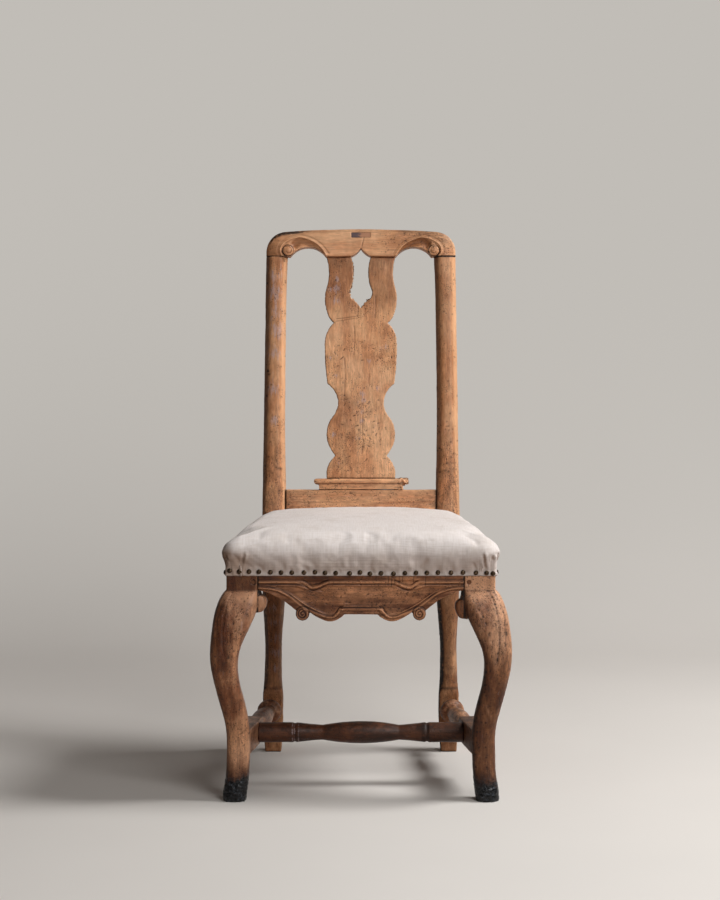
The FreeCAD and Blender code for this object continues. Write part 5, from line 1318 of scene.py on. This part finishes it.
def keep_outside(cover):
    """Sets what the folds and lumps pushed into the rails back in front of them."""
    spots = points_of(cover)
    x, y, z = spots.T
    wall = half_width(y) - CLEAR
    near = (z < RAIL_TOP) & (y < POST_FRONT - 2 * NEAR)
    inside = near & (np.abs(x) < wall) & (y > SEAT_FRONT + CLEAR)
    side = inside & ((wall - np.abs(x)) < (y - SEAT_FRONT))
    spots[side, 0] = np.sign(x[side]) * wall[side]
    spots[inside & ~side, 1] = SEAT_FRONT + CLEAR
    put_points(cover, spots)


class CHAIR_OT_linen_seat(bpy.types.Operator):
    """Stuffed seat under a nailed linen cover"""

    bl_idname = "chair.linen_seat"
    bl_label = "Linen seat"

    def execute(self, context):
        cover = linen_sheet()
        fill_linen(cover)
        apply_modifier(cover, "SUBSURF", levels=1, render_levels=1)
        gather_linen(cover)
        make_uneven(cover, clouds("lumps", 0.075), 0.0030)
        make_uneven(cover, clouds("creases", 0.022), 0.0007)
        keep_outside(cover)
        apply_modifier(cover, "SOLIDIFY", thickness=seat().linen_thickness, offset=-1)
        mark_rows(cover, LINEN_MARKS)
        material = cloth_material("linen_weave", seat().linen, seat().stain, seat().linen_pitch, 0.0006, 0.9, 0.40)
        stand_for(cover, "linen", material, "seat_cover", "seat_stuffing")
        return {"FINISHED"}


# Dome nails
NAIL_CUT, NAIL_FLATNESS, NAIL_INSET, NAIL_SHANK = 0.0004, 0.62, 0.36, 0.004
NAIL_START, NAIL_END, REAR_NAIL_END = 0.008, 0.016, 0.012
NAIL_STRAY, NAIL_LEAN = 0.001, 0.10


def dome_nail():
    """One nail: a low dome with a turned-in rim and a short shank, its head facing up."""
    width = seat().nail_width
    bpy.ops.mesh.primitive_uv_sphere_add(segments=14, ring_count=8, radius=width / 2)
    nail = bpy.context.active_object
    edit_all(nail)
    bpy.ops.mesh.bisect(plane_co=(0, 0, NAIL_CUT), plane_no=(0, 0, 1), clear_inner=True, use_fill=True)
    bpy.ops.mesh.select_all(action="SELECT")
    bpy.ops.transform.resize(value=(1, 1, NAIL_FLATNESS))
    leave_edit()
    edit_parts(nail, "FACE", lambda face: face.normal.z < -0.9)
    bpy.ops.mesh.inset(thickness=width * NAIL_INSET, depth=0)
    bpy.ops.mesh.extrude_region_move(TRANSFORM_OT_translate={"value": (0, 0, -NAIL_SHANK)})
    leave_edit()
    return nail


def set_nail(pattern, spot, facing):
    """A copy of the nail with its head at the spot, turned to face outwards."""
    only(pattern)
    bpy.ops.object.duplicate()
    nail = bpy.context.active_object
    nail.rotation_euler = facing.to_track_quat("Z", "Y").to_euler()
    nail.location = spot
    bpy.ops.object.transform_apply(location=True, rotation=True, scale=True)
    return nail


def nail_rows(chance):
    """Starting points outside the linen and the way each nail faces, by row."""
    height, spacing = seat().nail_height, seat().nail_spacing

    def stray(amount):
        return amount * chance.uniform(-1, 1)

    rows = {"nails_front": [((x * MM, -1, height + up * MM), (0, -1, 0)) for x, up in FRONT_NAILS]}
    count = int((POST_FRONT - SEAT_FRONT - NAIL_END) / spacing)
    for side, sign in (("left", -1), ("right", 1)):
        rows["nails_" + side] = [
            ((sign, SEAT_FRONT + NAIL_START + (step + stray(0.12)) * spacing, height + stray(NAIL_STRAY)),
             (sign / SLANT, SEAT_SLOPE / SLANT, 0)) for step in range(count + 1)]
    count = int(2 * (POST_INNER - REAR_NAIL_END) / spacing)
    rows["nails_rear"] = [(((step - count / 2 + stray(0.1)) * spacing, 1, height + stray(NAIL_STRAY)), (0, 1, 0))
                          for step in range(count + 1)]
    return rows


class CHAIR_OT_nails(bpy.types.Operator):
    """Rows of bronze dome nails along the hem of the linen"""

    bl_idname = "chair.nails"
    bl_label = "Dome nails"

    def execute(self, context):
        pattern = dome_nail()
        material = nail_material()
        cover = bpy.data.objects["linen_seat"]
        chance = random.Random(seat().seed)
        for name, places in nail_rows(chance).items():
            nails = []
            for start, facing in places:
                inward = (-facing[0], 0, 0) if abs(facing[0]) > 0.5 else (0, -facing[1], 0)
                hit, spot, _, _ = cover.ray_cast(Vector(start), Vector(inward))
                if not hit:
                    raise RuntimeError(f"no linen under a nail of {name} at {start}")
                lean = Vector([chance.uniform(-1, 1) for _ in range(3)]) * NAIL_LEAN
                nails.append(set_nail(pattern, spot, Vector(facing) + lean))
            bpy.ops.object.select_all(action="DESELECT")
            for nail in nails:
                nail.select_set(True)
            bpy.context.view_layer.objects.active = nails[0]
            bpy.ops.object.join()
            row = name_piece(bpy.context.active_object, name)
            row.data.materials.append(material)
            only(row)
            bpy.ops.object.shade_smooth_by_angle(angle=math.radians(40))
            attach(row, "root")
        bpy.data.objects.remove(pattern)
        return {"FINISHED"}


# Webbing and hessian, in metres
STRAP_CUTS, STRAP_THICKNESS, STRAP_LIFT, STRAP_WAVE, STRAP_CROSSING = (10, 90), 0.0015, 0.0008, 0.0009, 0.030
HESSIAN_INSET, HESSIAN_CORNER, HESSIAN_THICKNESS, HESSIAN_LIFT = 0.0098, 0.004, 0.0008, 0.0009


class CHAIR_OT_webbing(bpy.types.Operator):
    """Interlaced jute straps and the hessian over them"""

    bl_idname = "chair.webbing"
    bl_label = "Webbing and hessian"

    def execute(self, context):
        cloths = [cloth_material(name, colour, darker(colour, 0.55), pitch, 0.0008, 0.95, contrast)
                  for name, colour, pitch, contrast in (("jute_webbing", seat().webbing, 0.0022, 0.75),
                                                        ("hessian_cloth", seat().hessian, 0.0026, 0.8))]
        for number in range(1, 4):
            self.strap(f"webbing_long_{number}", 1, number % 2 == 0, cloths[0])
            self.strap(f"webbing_cross_{number}", 0, number % 2 == 1, cloths[0])
        sheet = seat_grid("hessian_sheet", 48, 44, 4, -HESSIAN_INSET, HESSIAN_CORNER)
        low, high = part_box("seat_hessian")
        spots = points_of(sheet)
        spots[:, 1] = np.minimum(spots[:, 1], high.y)
        spots[:, 2] = low.z + HESSIAN_LIFT
        put_points(sheet, spots)
        apply_modifier(sheet, "SOLIDIFY", thickness=HESSIAN_THICKNESS, offset=-1)
        stand_for(sheet, "hessian", cloths[1], "seat_hessian")
        return {"FINISHED"}

    def strap(self, node, axis, first_over, material):
        """One strap: a subdivided band that goes over and under the straps it crosses."""
        low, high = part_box(node)
        cuts = STRAP_CUTS if axis else STRAP_CUTS[::-1]
        bpy.ops.mesh.primitive_grid_add(x_subdivisions=cuts[0], y_subdivisions=cuts[1], size=1)
        strap = name_piece(bpy.context.active_object, node.replace("webbing", "strap"))
        spots = points_of(strap)
        middle, span = (low + high) / 2, high - low
        spots[:, :2] = np.array(middle)[:2] + spots[:, :2] * np.array(span)[:2]
        wave = np.zeros(len(spots))
        for number in range(1, 4):
            start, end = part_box(f"webbing_{'cross' if axis else 'long'}_{number}")
            up = 1 if (number % 2 == 1) == first_over else -1
            wave += up * np.exp(-((spots[:, axis] - (start[axis] + end[axis]) / 2) / STRAP_CROSSING) ** 4)
        spots[:, 2] = middle.z + STRAP_LIFT + STRAP_WAVE * wave
        put_points(strap, spots)
        apply_modifier(strap, "SOLIDIFY", thickness=STRAP_THICKNESS, offset=-1)
        stand_for(strap, "webbing", material, node)


# Stage, in metres
FLOOR_SIZE, FLOOR_MIDDLE, BACKDROP_HEIGHT, BACKDROP_BEND = 16, (0, -5.2, 0), 6, 1.6
LAMPS = {"key": ((2.41, -0.17, 2.93), 1.3), "fill": ((1.55, -2.95, 2.05), 2.0)}
LAMP_AIM = Vector((0, 0, 0.5))
SKY_TINT = (1, 0.95, 0.90, 1)
CAMERA_SPOT, CAMERA_TILT = (-0.0017, -4.32325, 0.9847), math.radians(84.906)


class CHAIR_OT_stage(bpy.types.Operator):
    """Pale floor with a swept backdrop, soft lamps and the camera"""

    bl_idname = "chair.stage"
    bl_label = "Stage"

    def execute(self, context):
        stage = context.scene.chair_stage
        self.floor(stage)
        for name, (spot, width) in LAMPS.items():
            bpy.ops.object.light_add(type="AREA", location=spot)
            lamp = bpy.context.active_object
            lamp.name = name
            lamp.data.energy = getattr(stage, name + "_power")
            lamp.data.shape = "DISK"
            lamp.data.size = width
            lamp.rotation_euler = (LAMP_AIM - Vector(spot)).to_track_quat("-Z", "Y").to_euler()
        world = bpy.data.worlds.get("World") or bpy.data.worlds.new("World")
        context.scene.world = world
        world.use_nodes = True
        net, sky = NodeNet(world.node_tree), world.node_tree.nodes["Background"]
        seen = net.put("LightPath")["Is Camera Ray"]
        net.feed(sky, "Color", net.blend(seen, SKY_TINT, opaque(stage.backdrop)))
        net.feed(sky, "Strength", net.mix(seen, stage.sky, 1.0))
        context.scene.view_settings.view_transform = "Standard"
        bpy.ops.object.camera_add(location=CAMERA_SPOT, rotation=(CAMERA_TILT, 0, 0))
        camera = bpy.context.active_object
        camera.data.sensor_fit = "VERTICAL"
        camera.data.sensor_height = 36
        camera.data.lens = stage.lens
        camera.data.dof.use_dof = False
        context.scene.camera = camera
        return {"FINISHED"}

    def floor(self, stage):
        """A floor that bends up into a backdrop, unseen from behind and from below."""
        bpy.ops.mesh.primitive_plane_add(size=FLOOR_SIZE, location=FLOOR_MIDDLE)
        floor = name_piece(bpy.context.active_object, "floor")
        bpy.ops.object.transform_apply(location=True)

        def low_rear(edge):
            ends = [floor.data.vertices[index].co for index in edge.vertices]
            return all(end.y > 2 and end.z < 1 for end in ends)

        edit_parts(floor, "EDGE", low_rear)
        bpy.ops.mesh.extrude_edges_move(TRANSFORM_OT_translate={"value": (0, 0, BACKDROP_HEIGHT)})
        leave_edit()
        edit_parts(floor, "EDGE", low_rear)
        bpy.ops.mesh.bevel(offset=BACKDROP_BEND, segments=24, affect="EDGES")
        leave_edit()
        bpy.ops.object.shade_smooth()
        material, net, shader = new_material("pale_floor")
        spot = net.here()
        shade = net.fade(net.noise(spot, 1.3, 3), 0.3, 0.7)
        plain = net.blend(shade, opaque(darker(stage.floor, 0.97)), opaque(stage.floor))
        path = net.put("LightPath")
        seen = net.most(path["Is Camera Ray"], path["Is Glossy Ray"])
        net.feed(shader, "Base Color", net.blend(seen, opaque(WARM_FLOOR), plain))
        net.feed(shader, "Roughness", 0.85)
        far = net.fade(net.put("VectorMath", {0: spot}, operation="LENGTH")["Value"], 1.0, 3.2)
        behind = net.geometry("Backfacing")
        shown = shader.outputs[0]
        for share, other in ((far, net.put("Emission", {"Color": opaque(stage.backdrop)})[0]),
                             (behind, net.put("BsdfTransparent")[0])):
            shown = net.put("MixShader", {0: net.times(path["Is Camera Ray"], share), 1: shown, 2: other})[0]
        net.feed(material.node_tree.nodes["Material Output"], "Surface", shown)
        floor.data.materials.append(material)


OPERATORS = (CHAIR_OT_back, CHAIR_OT_seat_frame, CHAIR_OT_front_legs, CHAIR_OT_stretchers, CHAIR_OT_pegs,
             CHAIR_OT_webbing, CHAIR_OT_linen_seat, CHAIR_OT_nails, CHAIR_OT_stage)
GROUPS = {"chair_wood": ChairWood, "chair_seat": ChairSeat, "chair_stage": ChairStage}


class CHAIR_PT_panel(bpy.types.Panel):
    """Lists the chair's pieces and what can be changed on them"""

    bl_idname = "CHAIR_PT_panel"
    bl_label = "Baroque side chair"
    bl_space_type = "VIEW_3D"
    bl_region_type = "UI"
    bl_category = "Chair"

    def draw(self, context):
        for operator in OPERATORS:
            self.layout.operator(operator.bl_idname)
        for name in GROUPS:
            box = self.layout.box()
            settings = getattr(context.scene, name)
            for setting in settings.__annotations__:
                box.prop(settings, setting)


def register():
    for made in (*GROUPS.values(), *OPERATORS, CHAIR_PT_panel):
        bpy.utils.register_class(made)
    for name, group in GROUPS.items():
        setattr(bpy.types.Scene, name, PointerProperty(type=group))


def unregister():
    for name in GROUPS:
        delattr(bpy.types.Scene, name)
    for made in reversed((*GROUPS.values(), *OPERATORS, CHAIR_PT_panel)):
        bpy.utils.unregister_class(made)


def main():
    register()
    bpy.ops.chair.back()
    bpy.ops.chair.seat_frame()
    bpy.ops.chair.front_legs()
    bpy.ops.chair.stretchers()
    bpy.ops.chair.pegs()
    bpy.ops.chair.webbing()
    bpy.ops.chair.linen_seat()
    bpy.ops.chair.nails()
    bpy.ops.chair.stage()


if __name__ == "__main__":
    main()
